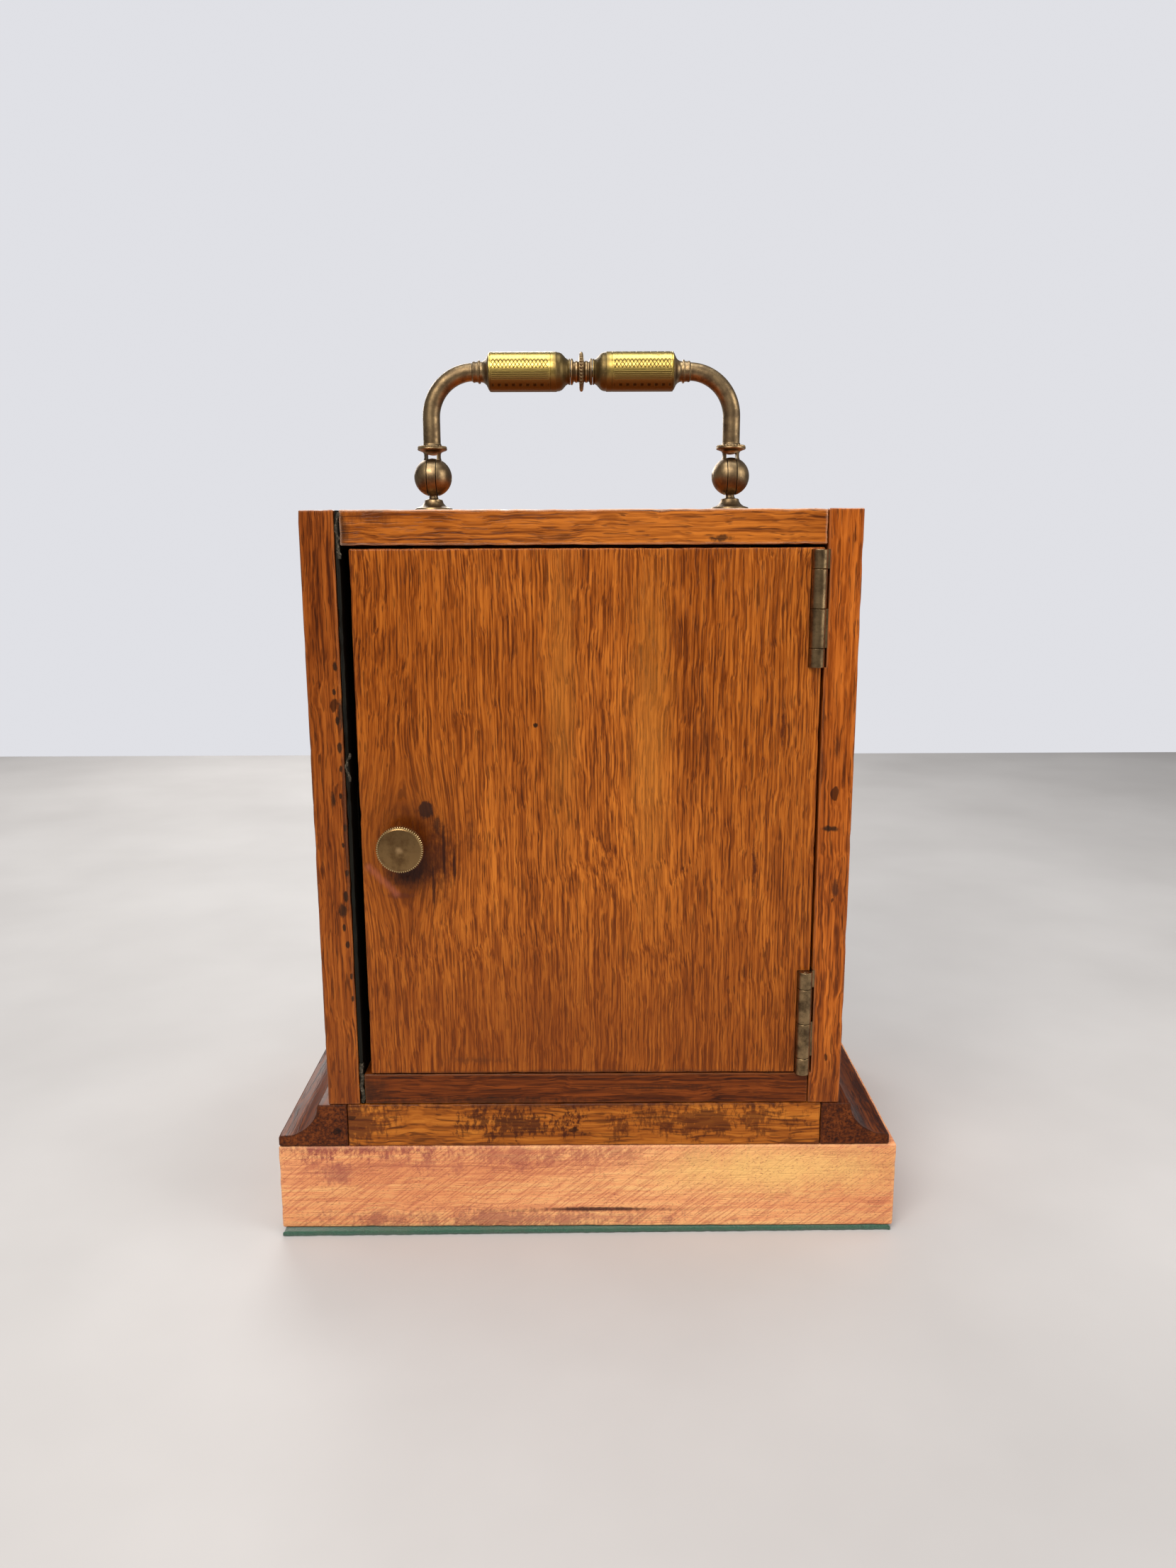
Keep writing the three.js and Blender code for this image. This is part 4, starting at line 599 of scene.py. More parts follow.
def side_marks():
    """Marks on the rear ends of the two sides: a chipped top, dents, bruises and a dark foot."""
    low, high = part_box("case_side_right")
    chip = (0, 0, 14, 0.35, 0.5, 0.6, (0.70, 0.42, 0.32), 0.7)
    rows = [
        (0.4, 118, 1.2, 5, 0.7, 0.5, NEAR_BLACK, 0.9),
        (2.6, 60, 1.6, 2.6, 0.6, 0.6, NEAR_BLACK, 0.85),
        (3.6, 93, 1.0, 3.6, 0.6, 0.6, NEAR_BLACK, 0.8),
        (0.3, 84, 1.4, 34, 0.6, 0.9, (0.05, 0.012, 0.004), 0.8),
        (5, 4, 7, 30, 0.3, 1.0, (0.12, 0.024, 0.006), 0.6),
    ]
    for i in range(BRUISES):
        across = 0.6 + 3.2 * abs(noise.noise(Vector((i * 3.7, 0.4, 0))))
        up = 34 + 104 * i / BRUISES + 6 * noise.noise(Vector((i * 5.3, 2.1, 0)))
        size = 0.45 + 0.7 * abs(noise.noise(Vector((i * 2.9, 7.7, 0))))
        rows.append((across, up, size, 2.2 * size, 0.5, 0.4, NEAR_BLACK, 0.9))
    right = marks_on_rear(high.x, high.z, [chip]) + marks_on_rear(low.x, low.z, rows)
    low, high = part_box("case_side_left")
    rows = [
        (-3.4, 84, 3.2, 1.1, 0.5, 0.6, NEAR_BLACK, 0.9),
        (-5.6, 66, 1.3, 3.4, 0.6, 0.6, (0.05, 0.014, 0.006), 0.8),
        (-4.6, 108, 0.9, 5, 0.7, 0.8, (0.06, 0.016, 0.005), 0.7),
        (-5, 3, 7, 22, 0.3, 1.0, (0.12, 0.026, 0.006), 0.6),
    ]
    left = marks_on_rear(low.x, high.z, [chip]) + marks_on_rear(high.x, low.z, rows)
    return right, left


def rear_marks(node, rows_for):
    """Marks on a level board. rows_for takes its left end, right end and height in millimetres."""
    low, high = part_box(node)
    return marks_on_rear(0, low.z, rows_for(low.x / MM, high.x / MM, (high.z - low.z) / MM))


def top_rows(_, right, height):
    return [
        (0, height, 90, 0.4, 0.5, 0.6, (0.78, 0.55, 0.44), 0.75),
        (-38, height / 2 - 3, 4, 1.2, 0.7, 0.7, NEAR_BLACK, 0.8),
        (56, height - 2, 9, 3, 0.7, 0.9, (0.10, 0.024, 0.005), 0.7),
        # Painted shadow: near-black at the right end of the top board, in the corner by the side and the
        # slip.
        (right, 4, 3.4, 8, 0.4, 0.7, NEAR_BLACK, 0.75),
    ]


def bottom_rows(_, right, __):
    return [
        (right, 4, 9, 7, 0.4, 0.9, (0.03, 0.010, 0.004), 0.8),
        (30, 1, 40, 1.6, 0.8, 0.9, NEAR_BLACK, 0.6),
        (-20, 5, 24, 1.2, 0.9, 0.9, (0.05, 0.014, 0.004), 0.6),
    ]


def rail_rows(_, right, height):
    return [
        (right - 4, 8, 13, 9, 1.3, 0.8, (0.07, 0.013, 0.004), 0.75),
        (20, 7, 17, 5, 1.8, 0.7, (0.05, 0.009, 0.003), 0.8),
        (-34, 8, 34, 5, 2.0, 0.8, (0.06, 0.011, 0.003), 0.65),
        (0, height, 80, 2.2, 0.8, 0.9, (0.06, 0.014, 0.006), 0.75),
    ]


def block_rows(left, right, height):
    return [
        (right - 26, height, 38, 4.5, 1.1, 0.9, (0.27, 0.050, 0.044), 0.85),
        (right - 18, height - 9, 10, 6, 1.1, 0.9, (0.33, 0.085, 0.065), 0.6),
        (20, height - 3, 62, 6, 1.5, 1.0, (0.38, 0.095, 0.065), 0.6),
        (26, 2, 64, 4.8, 1.2, 1.0, (0.34, 0.105, 0.070), 0.7),
        (-4, 5.6, 42, 1.0, 0.4, 0.9, (0.20, 0.060, 0.030), 0.8),
        (-4, 5.9, 20, 0.9, 0.25, 0.6, (0.06, 0.018, 0.010), 0.9),
        (4, 3.2, 44, 2.2, 0.6, 0.9, (0.52, 0.20, 0.11), 0.6),
        # Painted light: a broad, soft, pale-yellow patch that brightens the left-hand end of the block's rear
        # face.
        (left + 36, height - 8, 60, 12, 0.3, 1.0, (0.98, 0.60, 0.20), 0.8),
    ]


def moulding_finish(name, grain):
    colours = ((0.19, 0.045, 0.007), (0.095, 0.020, 0.003), (0.030, 0.006, 0.002))
    wear = {"edge": (0.05, 0.016, 0.007), "edge_cover": 0.75, "dents": 0.3}
    return wood_finish(name, *colours, grain, rings=0.004, fibre=0.0009, **wear)


def make_case_woods():
    """One finish for each board, because each was sawn and stained apart."""
    right_marks, left_marks = side_marks()
    oak, brown = (OAK_PALE, OAK_MID, OAK_DARK), (BROWN_PALE, BROWN_MID, BROWN_DARK)
    return {
        "door": door_finish(),
        "side_right": side_finish("side_oak_right", (0.31, 0.12, 0), right_marks, 0.62),
        "side_left": side_finish("side_oak_left", (0.73, 0.42, 0), left_marks, 0.36, 1.4),
        "top": wood_finish(
            "top_oak", OAK_PALE, (0.34, 0.090, 0.009), OAK_DARK, grain=ALONG_X, offset=(0.2, 0, 0),
            rings=0.005, edge=(0.80, 0.52, 0.36), edge_cover=0.8,
            marks=rear_marks("case_top", top_rows),
            dents=0.15,
        ),
        "bottom": wood_finish(
            "bottom_oak", *brown, grain=ALONG_X, offset=(0.5, 0.3, 0), rings=0.004,
            marks=rear_marks("case_bottom", bottom_rows),
        ),
        "rail": wood_finish(
            "plinth_rail_oak", (0.62, 0.210, 0.026), (0.42, 0.120, 0.012), (0.12, 0.026, 0.004),
            grain=ALONG_X, offset=(0.9, 0.1, 0), rings=0.006, fibre=0.0012,
            marks=rear_marks("plinth_back_rail", rail_rows),
            dents=0.9, edge=(0.08, 0.024, 0.008), edge_cover=0.8,
        ),
        "moulding": moulding_finish("moulding_oak", ALONG_Y),
        "front_moulding": moulding_finish("front_moulding_oak", ALONG_X),
        "panel": wood_finish(
            "front_oak", *oak, offset=(0.15, 0.6, 0.3), rings=0.008, fibre=0.00066, wander=0.012,
            edge=RUBBED_OAK, dents=0.06, relief=0.4,
        ),
        "stop": wood_finish("stop_oak", *brown, grain=ALONG_X),
        "slip": wood_finish(
            "black_slip", (0.012, 0.011, 0.007), (0.006, 0.006, 0.004), (0.003, 0.003, 0.002), fibre=0.0014,
            edge=(0.020, 0.017, 0.011), coat=0.0, roughness=(0.55, 0.85),
        ),
        "block": block_finish(rear_marks("base_block", block_rows)),
    }


def block_finish(marks):
    """Pale, thinly stained softwood with the saw's marks slanting across it."""
    material, tree, surface = new_finish("pale_block_wood", Specular_IOR_Level=0.3)
    place = tree.object_place()
    grain = tree.add("ShaderNodeMapping", Vector=place, Rotation=ALONG_X, Location=(0.4, 0, 0)).outputs[0]
    figure = tree.group(BOARD_FIGURE, Place=grain, Ring_Width=0.007, Fibre_Width=0.0008, Wander=0.004)
    tone = tree.plus(tree.times(figure["Rings"], 0.4), tree.times(figure["Fibre"], 0.6))
    stops = [(0.05, (0.62, 0.225, 0.105)), (0.5, (0.90, 0.385, 0.160)), (0.95, (0.96, 0.52, 0.21))]
    colour = tree.ramp(tone, stops)
    shade = tree.ramp(figure["Clouds"], [(0.0, (0.88, 0.76, 0.72)), (1.0, (1.04, 1.08, 1.10))])
    colour = tree.mix(1.0, colour, shade, "MULTIPLY")
    slanted = tree.add("ShaderNodeMapping", Vector=place, Rotation=(0, math.radians(52), 0)).outputs[0]
    saw = tree.spread(tree.noise(tree.scaled(slanted, (1800, 600, 95)), detail=2), 0.46, 0.66)
    colour = tree.mix(tree.times(saw, 0.50), colour, (0.50, 0.130, 0.070))
    colour = lay_marks_and_painted_light(tree, place, colour, marks)
    specks = tree.noise(tree.scaled(place, (1500, 1500, 2600)), detail=2)
    colour = tree.mix(tree.spread(specks, 0.56, 0.74, 0.0, 0.6), colour, (0.34, 0.085, 0.052))
    wear = tree.group(WORN_ARRIS, Place=place, Width=0.0016, Ragged=0.9)
    colour = tree.mix(tree.times(wear["Edge"], 0.55), colour, (0.92, 0.55, 0.30))
    height = tree.minus(figure["Relief"], tree.times(saw, 0.35))
    rough = tree.spread(figure["Clouds"], 0.0, 1.0, 0.52, 0.72)
    tree.dress(surface, colour, rough, tree.bump(height, 0.55, 0.0004))
    return material


# ---------------------------------------------------------------- metal, cloth, enamel and glass finishes


def metal_finish(name, bright, dull, cover, roughness, bloom=0.004, scratch=0.00012, edge=0.5, relief=0.12):
    """Polished or aged metal: bright where it is rubbed, dull where the bloom has stayed."""
    material, tree, surface = new_finish(name, Metallic=1.0)
    place = tree.object_place()
    tarnish = tree.group(TARNISH, Place=place, Size=bloom, Cover=cover)
    lines = tree.group(FINE_SCRATCHES, Place=place, Width=scratch)["Lines"]
    wear = tree.group(WORN_ARRIS, Place=place, Width=0.0005, Ragged=0.5)
    colour = tree.mix(tarnish["Bloom"], bright, dull)
    colour = tree.mix(tree.times(tarnish["Pits"], 0.5), colour, times_each(0.45, dull))
    colour = tree.mix(tree.times(wear["Edge"], edge), colour, bright)
    rough = tree.plus(tree.times(tarnish["Bloom"], 0.7), tree.times(lines, 0.3))
    height = tree.times(tree.plus(tarnish["Pits"], lines), -1.0)
    tree.dress(surface, colour, tree.spread(rough, 0.0, 1.0, *roughness), tree.bump(height, relief, 0.0001))
    return material


GRIP_REPEATS = 3  # times the engraved bands go round a grip
ZIGZAG_STEP = 1.15 * MM
DASH_STEP = 2.2 * MM


def grip_finish():
    """Gilt brass engraved in bands along the grip: a zigzag, long lines and a row of dashes, with painted
    shade on its lower side.
    """
    material, tree, surface = new_finish("engraved_brass", Metallic=1.0)
    place = tree.object_place()
    away = tree.vector("SUBTRACT", place, tuple(GRIP_AT))
    x, y, z = tree.separate(away)
    along = tree.math("ABSOLUTE", x)
    angle = tree.math("ARCTAN2", z, y)
    turns = tree.repeat(tree.plus(angle, math.radians(70)), GRIP_REPEATS / (2 * HALF_TURN))

    def band(low, high):
        """1 between two shares of the way round one repeat of the pattern."""
        above = tree.math("GREATER_THAN", turns, low)
        below = tree.math("LESS_THAN", turns, high)
        return tree.times(above, below)

    def line(distance, full, none):
        """1 on an engraved line, where distance is below full, fading out at none."""
        return tree.spread(distance, full, none, 1.0, 0.0)

    slope = tree.from_middle(tree.repeat(along, 1 / ZIGZAG_STEP))
    across = tree.from_middle(tree.repeat(turns, 6.5))
    zigzag = tree.times(line(tree.math("ABSOLUTE", tree.minus(slope, across)), 0.05, 0.13), band(0.60, 0.85))
    long_lines = tree.times(line(tree.from_middle(tree.repeat(turns, 21)), 0.12, 0.24), band(0.33, 0.54))
    dashes = line(tree.from_middle(tree.repeat(along, 1 / DASH_STEP)), 0.16, 0.24)
    dashes = tree.times(dashes, band(0.14, 0.22))
    cuts = tree.math("MAXIMUM", tree.math("MAXIMUM", zigzag, long_lines), dashes)
    inside = tree.times(tree.spread(along, 0.0098, 0.0106), line(along, 0.0272, 0.0279))
    cuts = tree.times(cuts, inside)

    tarnish = tree.group(TARNISH, Place=place, Size=0.003, Cover=0.36)
    shoulder = tree.spread(along, 0.0072, 0.0104, 1.0, 0.0)
    bloom = tree.math("MAXIMUM", tarnish["Bloom"], shoulder)
    # Painted shade: the grip's lower side is pulled towards the dark bloom colour and made rougher, so from
    # here bloom holds both tarnish and painted shade.
    painted_shade_below = tree.spread(z, -0.0045, 0.0022, 0.95, 0.0)
    bloom = tree.math("MAXIMUM", bloom, painted_shade_below)
    colour = tree.mix(bloom, (0.56, 0.40, 0.105), (0.15, 0.103, 0.040))
    colour = tree.mix(tree.times(cuts, 0.9), colour, (0.055, 0.030, 0.008))
    height = tree.times(tree.plus(cuts, tree.times(tarnish["Pits"], 0.15)), -1.0)
    tree.dress(surface, colour, tree.spread(bloom, 0.0, 1.0, 0.26, 0.42), tree.bump(height, 0.9, 0.0002))
    return material


def knob_finish():
    """Turned brass: fine rings round the middle, a pale rubbed spot at the centre and a brown bloom."""
    material, tree, surface = new_finish("knob_brass", Metallic=1.0)
    place = tree.object_place()
    away = tree.vector("SUBTRACT", place, tuple(KNOB_AT))
    x, _, z = tree.separate(away)
    distance = tree.length(tree.combine(x, 0.0, z))
    rings = tree.noise(tree.combine(tree.times(distance, 5200), 0.0, 0.0), detail=2)
    tarnish = tree.group(TARNISH, Place=place, Size=0.0035, Cover=0.46)
    colour = tree.mix(tarnish["Bloom"], (0.235, 0.138, 0.056), (0.122, 0.064, 0.026))
    nib = (tuple(KNOB_AT), (0.0016, 0.02, 0.0016), 0.35, 0.9, (0.66, 0.42, 0.20), 0.7)
    colour = lay_marks_and_painted_light(tree, place, colour, [nib])
    rim = tree.spread(distance, 0.0060, 0.0063)
    colour = tree.mix(tree.times(rim, 0.7), colour, (0.74, 0.56, 0.27))
    height = tree.plus(tree.times(rings, 0.6), tree.times(tarnish["Pits"], -0.4))
    rough = tree.spread(tarnish["Bloom"], 0.0, 1.0, 0.30, 0.44)
    tree.dress(surface, colour, rough, tree.bump(height, 0.25, 0.0001))
    return material


def baize_finish():
    """Green baize: matted wool with faded, dusty patches."""
    shader = {"Sheen_Weight": 0.5, "Sheen_Roughness": 0.6, "Specular_IOR_Level": 0.15}
    material, tree, surface = new_finish("green_baize", **shader)
    place = tree.object_place()
    wool = tree.noise(place, 2400, detail=4, roughness=0.7)
    patches = tree.noise(place, 60, detail=3)
    stops = [(0.25, (0.003, 0.040, 0.018)), (0.55, (0.008, 0.105, 0.052)), (0.85, (0.05, 0.23, 0.13))]
    dust = tree.spread(patches, 0.42, 0.72, 0.0, 0.4)
    colour = tree.mix(dust, tree.ramp(wool, stops), (0.075, 0.105, 0.055))
    tree.dress(surface, colour, tree.spread(wool, 0.2, 0.8, 0.85, 1.0), tree.bump(wool, 0.9, 0.0006))
    return material


def enamel_finish():
    """White enamel with a faint ripple and fine crazing."""
    material, tree, surface = new_finish("white_enamel", Coat_Weight=0.6, Coat_Roughness=0.08)
    place = tree.object_place()
    ripple = tree.noise(place, 70, detail=2)
    cells = tree.add("ShaderNodeTexVoronoi", {"feature": "DISTANCE_TO_EDGE"}, Vector=place, Scale=95.0)
    crazing = tree.spread(cells.outputs["Distance"], 0.0, 0.012, 0.22, 0.0)
    colour = tree.ramp(ripple, [(0.3, (0.80, 0.775, 0.70)), (0.7, (0.86, 0.84, 0.775))])
    colour = tree.mix(crazing, colour, (0.42, 0.36, 0.26))
    tree.dress(surface, colour, tree.spread(ripple, 0.3, 0.7, 0.16, 0.26), tree.bump(ripple, 0.1, 0.0008))
    return material


def glass_finish():
    """Clear flat glass with a trace of dust."""
    material, tree, surface = new_finish("dial_glass", IOR=1.45, Transmission_Weight=1.0)
    surface.inputs["Base Color"].default_value = (0.96, 0.98, 0.98, 1)
    dust = tree.noise(tree.object_place(), 260, detail=4, roughness=0.7)
    tree.link(tree.spread(dust, 0.4, 0.9, 0.01, 0.09), surface.inputs["Roughness"])
    return material


def plate_finish():
    """Brass plates of the movement, spotted all over in overlapping circles and lacquered."""
    material, tree, surface = new_finish("spotted_brass", Metallic=1.0)
    place = tree.object_place()
    cells = tree.add("ShaderNodeTexVoronoi", Vector=place, Scale=430.0, Randomness=0.22)
    swirl = tree.math("SINE", tree.times(cells.outputs["Distance"], 34.0))
    tarnish = tree.group(TARNISH, Place=place, Size=0.009, Cover=0.30)
    colour = tree.mix(tarnish["Bloom"], (0.80, 0.60, 0.27), (0.55, 0.38, 0.16))
    tree.dress(surface, colour, tree.spread(swirl, -1.0, 1.0, 0.20, 0.36), tree.bump(swirl, 0.16, 0.00008))
    return material


def make_metals():
    aged = ((0.37, 0.255, 0.130), (0.135, 0.092, 0.050))
    hinge = ((0.30, 0.20, 0.10), (0.085, 0.056, 0.030))
    blued = ((0.045, 0.075, 0.26), (0.030, 0.035, 0.10))
    return {
        "aged": metal_finish("aged_brass_patina", *aged, 0.55, (0.35, 0.50), edge=0.75),
        "hinge": metal_finish("hinge_brass_patina", *hinge, 0.5, (0.32, 0.5)),
        "bright": metal_finish("polished_brass", (0.84, 0.62, 0.26), (0.55, 0.38, 0.15), 0.32, (0.16, 0.32)),
        "wheel": metal_finish("lacquered_brass", (0.82, 0.62, 0.29), (0.60, 0.42, 0.18), 0.25, (0.20, 0.34)),
        "plate": plate_finish(),
        "steel": metal_finish("polished_steel", (0.60, 0.60, 0.60), (0.34, 0.32, 0.30), 0.28, (0.18, 0.36)),
        "blued": metal_finish("blued_steel_finish", *blued, 0.3, (0.16, 0.30)),
        "grip": grip_finish(), "knob": knob_finish(), "baize": baize_finish(), "enamel": enamel_finish(),
        "glass": glass_finish(),
    }


# ---------------------------------------------------------------- shapes


class Shape:
    """Points and faces of one piece, gathered from its parts."""

    def __init__(self):
        self.points = []
        self.faces = []

    def add(self, points, faces):
        start = len(self.points)
        self.points += [tuple(p) for p in points]
        self.faces += [tuple(start + i for i in face) for face in faces]
        return self

    def join(self, other):
        return self.add(other.points, other.faces)

    def turned(self, profile, centre, axis="z", sides=ROUND):
        """A profile of (radius, place along the axis), turned round a line along that axis.

        A profile that comes back to its start makes a ring.
        """
        ring = profile[0] == profile[-1]
        rows = profile[:-1] if ring else profile
        points, starts = [], []
        for radius, along in rows:
            starts.append(len(points))
            count = sides if radius > 1e-7 else 1
            for i in range(count):
                angle = 2 * HALF_TURN * i / count
                a, b = radius * math.cos(angle), radius * math.sin(angle)
                at = {"x": (along, a, b), "y": (b, along, a), "z": (a, b, along)}[axis]
                points.append(Vector(centre) + Vector(at))
        faces = []
        count = len(rows)
        for low in range(count if ring else count - 1):
            high = (low + 1) % count
            below, above = starts[low], starts[high]
            low_point = rows[low][0] <= 1e-7
            high_point = rows[high][0] <= 1e-7
            for i in range(sides):
                j = (i + 1) % sides
                if low_point and not high_point:
                    faces.append((below, above + j, above + i))
                elif high_point and not low_point:
                    faces.append((below + i, below + j, above))
                elif not low_point:
                    faces.append((below + i, below + j, above + j, above + i))
        return self.add(points, faces)

    def tube(self, path, radius, sides=SMALL_ROUND, side_on=(0, 1, 0)):
        """A round rod along a path that keeps at right angles to side_on, with flat ends."""
        points, faces = [], []
        for i, at in enumerate(path):
            ahead = (path[min(i + 1, len(path) - 1)] - path[max(i - 1, 0)]).normalized()
            first = Vector(side_on)
            second = ahead.cross(first).normalized()
            for k in range(sides):
                angle = 2 * HALF_TURN * k / sides
                points.append(at + (first * math.cos(angle) + second * math.sin(angle)) * radius)
        for i in range(len(path) - 1):
            for k in range(sides):
                m = (k + 1) % sides
                faces.append((i * sides + k, i * sides + m, (i + 1) * sides + m, (i + 1) * sides + k))
        faces.append(tuple(reversed(range(sides))))
        faces.append(tuple(range((len(path) - 1) * sides, len(path) * sides)))
        return self.add(points, faces)

    def beads(self, count, radius, bead, centre, axis="z"):
        """A ring of small round beads about a line along an axis."""
        turns = [HALF_TURN * k / 6 for k in range(1, 6)]
        curve = [(bead * math.sin(turn), -bead * math.cos(turn)) for turn in turns]
        profile = [(0.0, -bead), *curve, (0.0, bead)]
        for i in range(count):
            angle = 2 * HALF_TURN * (i + 0.5) / count
            a, b = radius * math.cos(angle), radius * math.sin(angle)
            at = {"x": (0, a, b), "z": (a, b, 0)}[axis]
            self.turned(profile, Vector(centre) + Vector(at), axis=axis, sides=8)
        return self

    def slab(self, outline, low, high, arris, axis="y"):
        """A flat plate cut to an outline of (x, z) points, with its edges eased."""
        count = len(outline)
        middle = Vector((sum(p[0] for p in outline) / count, sum(p[1] for p in outline) / count))
        layers = [(low, arris), (low + arris, 0.0), (high - arris, 0.0), (high, arris)]
        points = []
        for along, inset in layers:
            for x, z in outline:
                away = Vector((x, z)) - middle
                eased = middle + away * max(0.0, 1 - inset / max(away.length, 1e-6))
                points.append((eased.x, along, eased.y) if axis == "y" else (eased.x, eased.y, along))
        faces = [tuple(range(count))[::-1], tuple(range((len(layers) - 1) * count, len(layers) * count))]
        for layer in range(len(layers) - 1):
            for i in range(count):
                j = (i + 1) % count
                a, b = layer * count, (layer + 1) * count
                faces.append((a + i, a + j, b + j, b + i))
        return self.add(points, faces)

    def mesh(self, name):
        mesh = bpy.data.meshes.new(name)
        mesh.from_pydata(self.points, [], self.faces)
        work = bmesh.new()
        work.from_mesh(mesh)
        bmesh.ops.remove_doubles(work, verts=work.verts, dist=1e-7)
        bmesh.ops.recalc_face_normals(work, faces=work.faces)
        work.to_mesh(mesh)
        work.free()
        return mesh


def grid_steps(low, high, step, arris):
    """Places of the points across one side of a board: close together at its ends, a step apart between."""
    ends = [0, arris * 0.3, arris * 0.65, arris, arris * 1.8]
    count = max(2, round((high - low - 2 * ends[-1]) / step))
    inner = [low + ends[-1] + (high - low - 2 * ends[-1]) * i / count for i in range(1, count)]
    return [low + e for e in ends] + inner + [high - e for e in reversed(ends)]


def board_shape(low, high, arris, wear, seed, step=BOARD_STEP):
    """A hand-planed board: faces that waver slightly, eased arrises and small bruises along them."""
    size = high - low
    steps = [grid_steps(0, size[k], min(step, size[k] / 3), arris) for k in range(3)]
    shape = Shape()
    for axis in range(3):
        u, v = (axis + 1) % 3, (axis + 2) % 3
        for side in (0.0, size[axis]):
            points = []
            for a in steps[u]:
                for b in steps[v]:
                    point = [0.0, 0.0, 0.0]
                    point[axis], point[u], point[v] = side, a, b
                    points.append(tuple(point))
            columns = len(steps[v])
            faces = []
            for i in range(len(steps[u]) - 1):
                for k in range(columns - 1):
                    first = i * columns + k
                    faces.append((first, first + 1, first + columns + 1, first + columns))
            shape.add(points, faces)
    shaped = []
    for point in shape.points:
        p = Vector(point)
        inner = Vector([min(max(p[k], arris), size[k] - arris) for k in range(3)])
        out = p - inner
        edges = sum(1 for k in range(3) if min(p[k], size[k] - p[k]) < arris * 1.9)
        if out.length > 0 and edges >= 2:
            p = inner + out.normalized() * arris
        where = low + p
        dip = 0.5 + 0.5 * noise.noise(where * 38 + Vector((seed, 0, 0)))
        bruise = max(0.0, noise.noise(where * 310 + Vector((0, seed, 0))) - 0.12) if edges >= 2 else 0.0
        depth = wear * (0.35 * dip + 2.6 * bruise)
        towards = (inner - p).normalized() if out.length > 0 else Vector((0, 0, 0))
        shaped.append(tuple(where + towards * depth))
    shape.points = shaped
    return shape


def finish_piece(name, mesh, material, body, replaces=(), crease=32):
    """Makes a piece of the clock from a mesh, hangs it under the empty of the body it moves with, and hides
    the parts it replaces.
    """
    mesh.polygons.foreach_set("use_smooth", [True] * len(mesh.polygons))
    mesh.set_sharp_from_angle(angle=math.radians(crease))
    mesh.materials.clear()
    mesh.materials.append(material)
    piece = bpy.data.objects.new(name, mesh)
    bpy.context.scene.collection.objects.link(piece)
    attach(piece, body)
    if replaces:
        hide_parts(*replaces)
    return piece


def carve(mesh, cutters):
    """Cuts closed shapes out of a mesh and returns what is left."""
    tool = Shape()
    for cutter in cutters:
        tool.join(cutter)
    work = bpy.data.objects.new("work", mesh)
    knife = bpy.data.objects.new("knife", tool.mesh("knife"))
    for each in (work, knife):
        bpy.context.scene.collection.objects.link(each)
    modifier = work.modifiers.new("carve", "BOOLEAN")
    modifier.operation = "DIFFERENCE"
    modifier.solver = "EXACT"
    modifier.object = knife
    modifier.use_self = True
    depsgraph = bpy.context.evaluated_depsgraph_get()
    result = bpy.data.meshes.new_from_object(work.evaluated_get(depsgraph))
    for each in (work, knife):
        bpy.data.objects.remove(each)
    return result


def box_shape(low, high):
    corners = [(x, y, z) for x in (low[0], high[0]) for y in (low[1], high[1]) for z in (low[2], high[2])]
    faces = [(0, 1, 3, 2), (4, 6, 7, 5), (0, 4, 5, 1), (2, 3, 7, 6), (0, 2, 6, 4), (1, 5, 7, 3)]
    return Shape().add(corners, faces)


def round_bar(radius, reach, centre, axis, sides):
    """A plain bar that reaches equally far both ways from its centre. It bores, mills or cuts a piece."""
    profile = [(0, -reach), (radius, -reach), (radius, reach), (0, reach)]
    return Shape().turned(profile, centre, axis=axis, sides=sides)


# ---------------------------------------------------------------- case and base

HINGE_LEAF = 0.8 * MM
HINGE_LEAF_DEPTH = 7.2 * MM
CASE_LEAF_SUNK = 0.6 * MM  # how deep the case's leaf is let into the side
MORTISE_PLAY = 0.08 * MM
CUT_REACH = 20 * MM  # half the length of a bar that bores right through a board
DIAL_HOLE = 50 * MM
HINGES = ("upper", "lower")


def hinge_line(which):
    """The two ends of a hinge's pin."""
    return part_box(f"hinge_{which}_pin")


def door_mortises():
    """Where the hinges' leaves and knuckles are let into the door."""
    cuts = []
    for which in HINGES:
        low, high = hinge_line(which)
        axis = (low + high) / 2
        bottom, top = low.z - MORTISE_PLAY, high.z + MORTISE_PLAY
        front = REAR_Y - HINGE_LEAF_DEPTH - MORTISE_PLAY
        leaf_face = DOOR_LOW.x + HINGE_LEAF + MORTISE_PLAY
        knuckle = (axis.x + 2.25 * MM, REAR_Y + MM, top)
        cuts.append(box_shape((DOOR_LOW.x - MM, front, bottom), (leaf_face, REAR_Y + MM, top)))
        cuts.append(box_shape((DOOR_LOW.x - MM, axis.y - 2.35 * MM, bottom), knuckle))
    return cuts


def make_door(woods):
    board = board_shape(DOOR_LOW, DOOR_HIGH, 0.55 * MM, 0.16 * MM, 3.1)
    spindle_hole = round_bar(SPINDLE_BORE, CUT_REACH, (KNOB_AT.x, REAR_Y, KNOB_AT.z), "y", 24)
    mesh = board.mesh("door_board")
    for cutter in [*door_mortises(), spindle_hole]:
        mesh = carve(mesh, [cutter])
    finish_piece("door_board", mesh, woods["door"], "door", ["rear_door"])


def plain_board(name, node, wood, arris=ARRIS, wear=0.14 * MM, seed=1.0, cuts=()):
    low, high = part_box(node)
    mesh = board_shape(low, high, arris, wear, seed).mesh(name)
    for cutter in cuts:
        mesh = carve(mesh, [cutter])
    return finish_piece(name, mesh, wood, "case", [node])


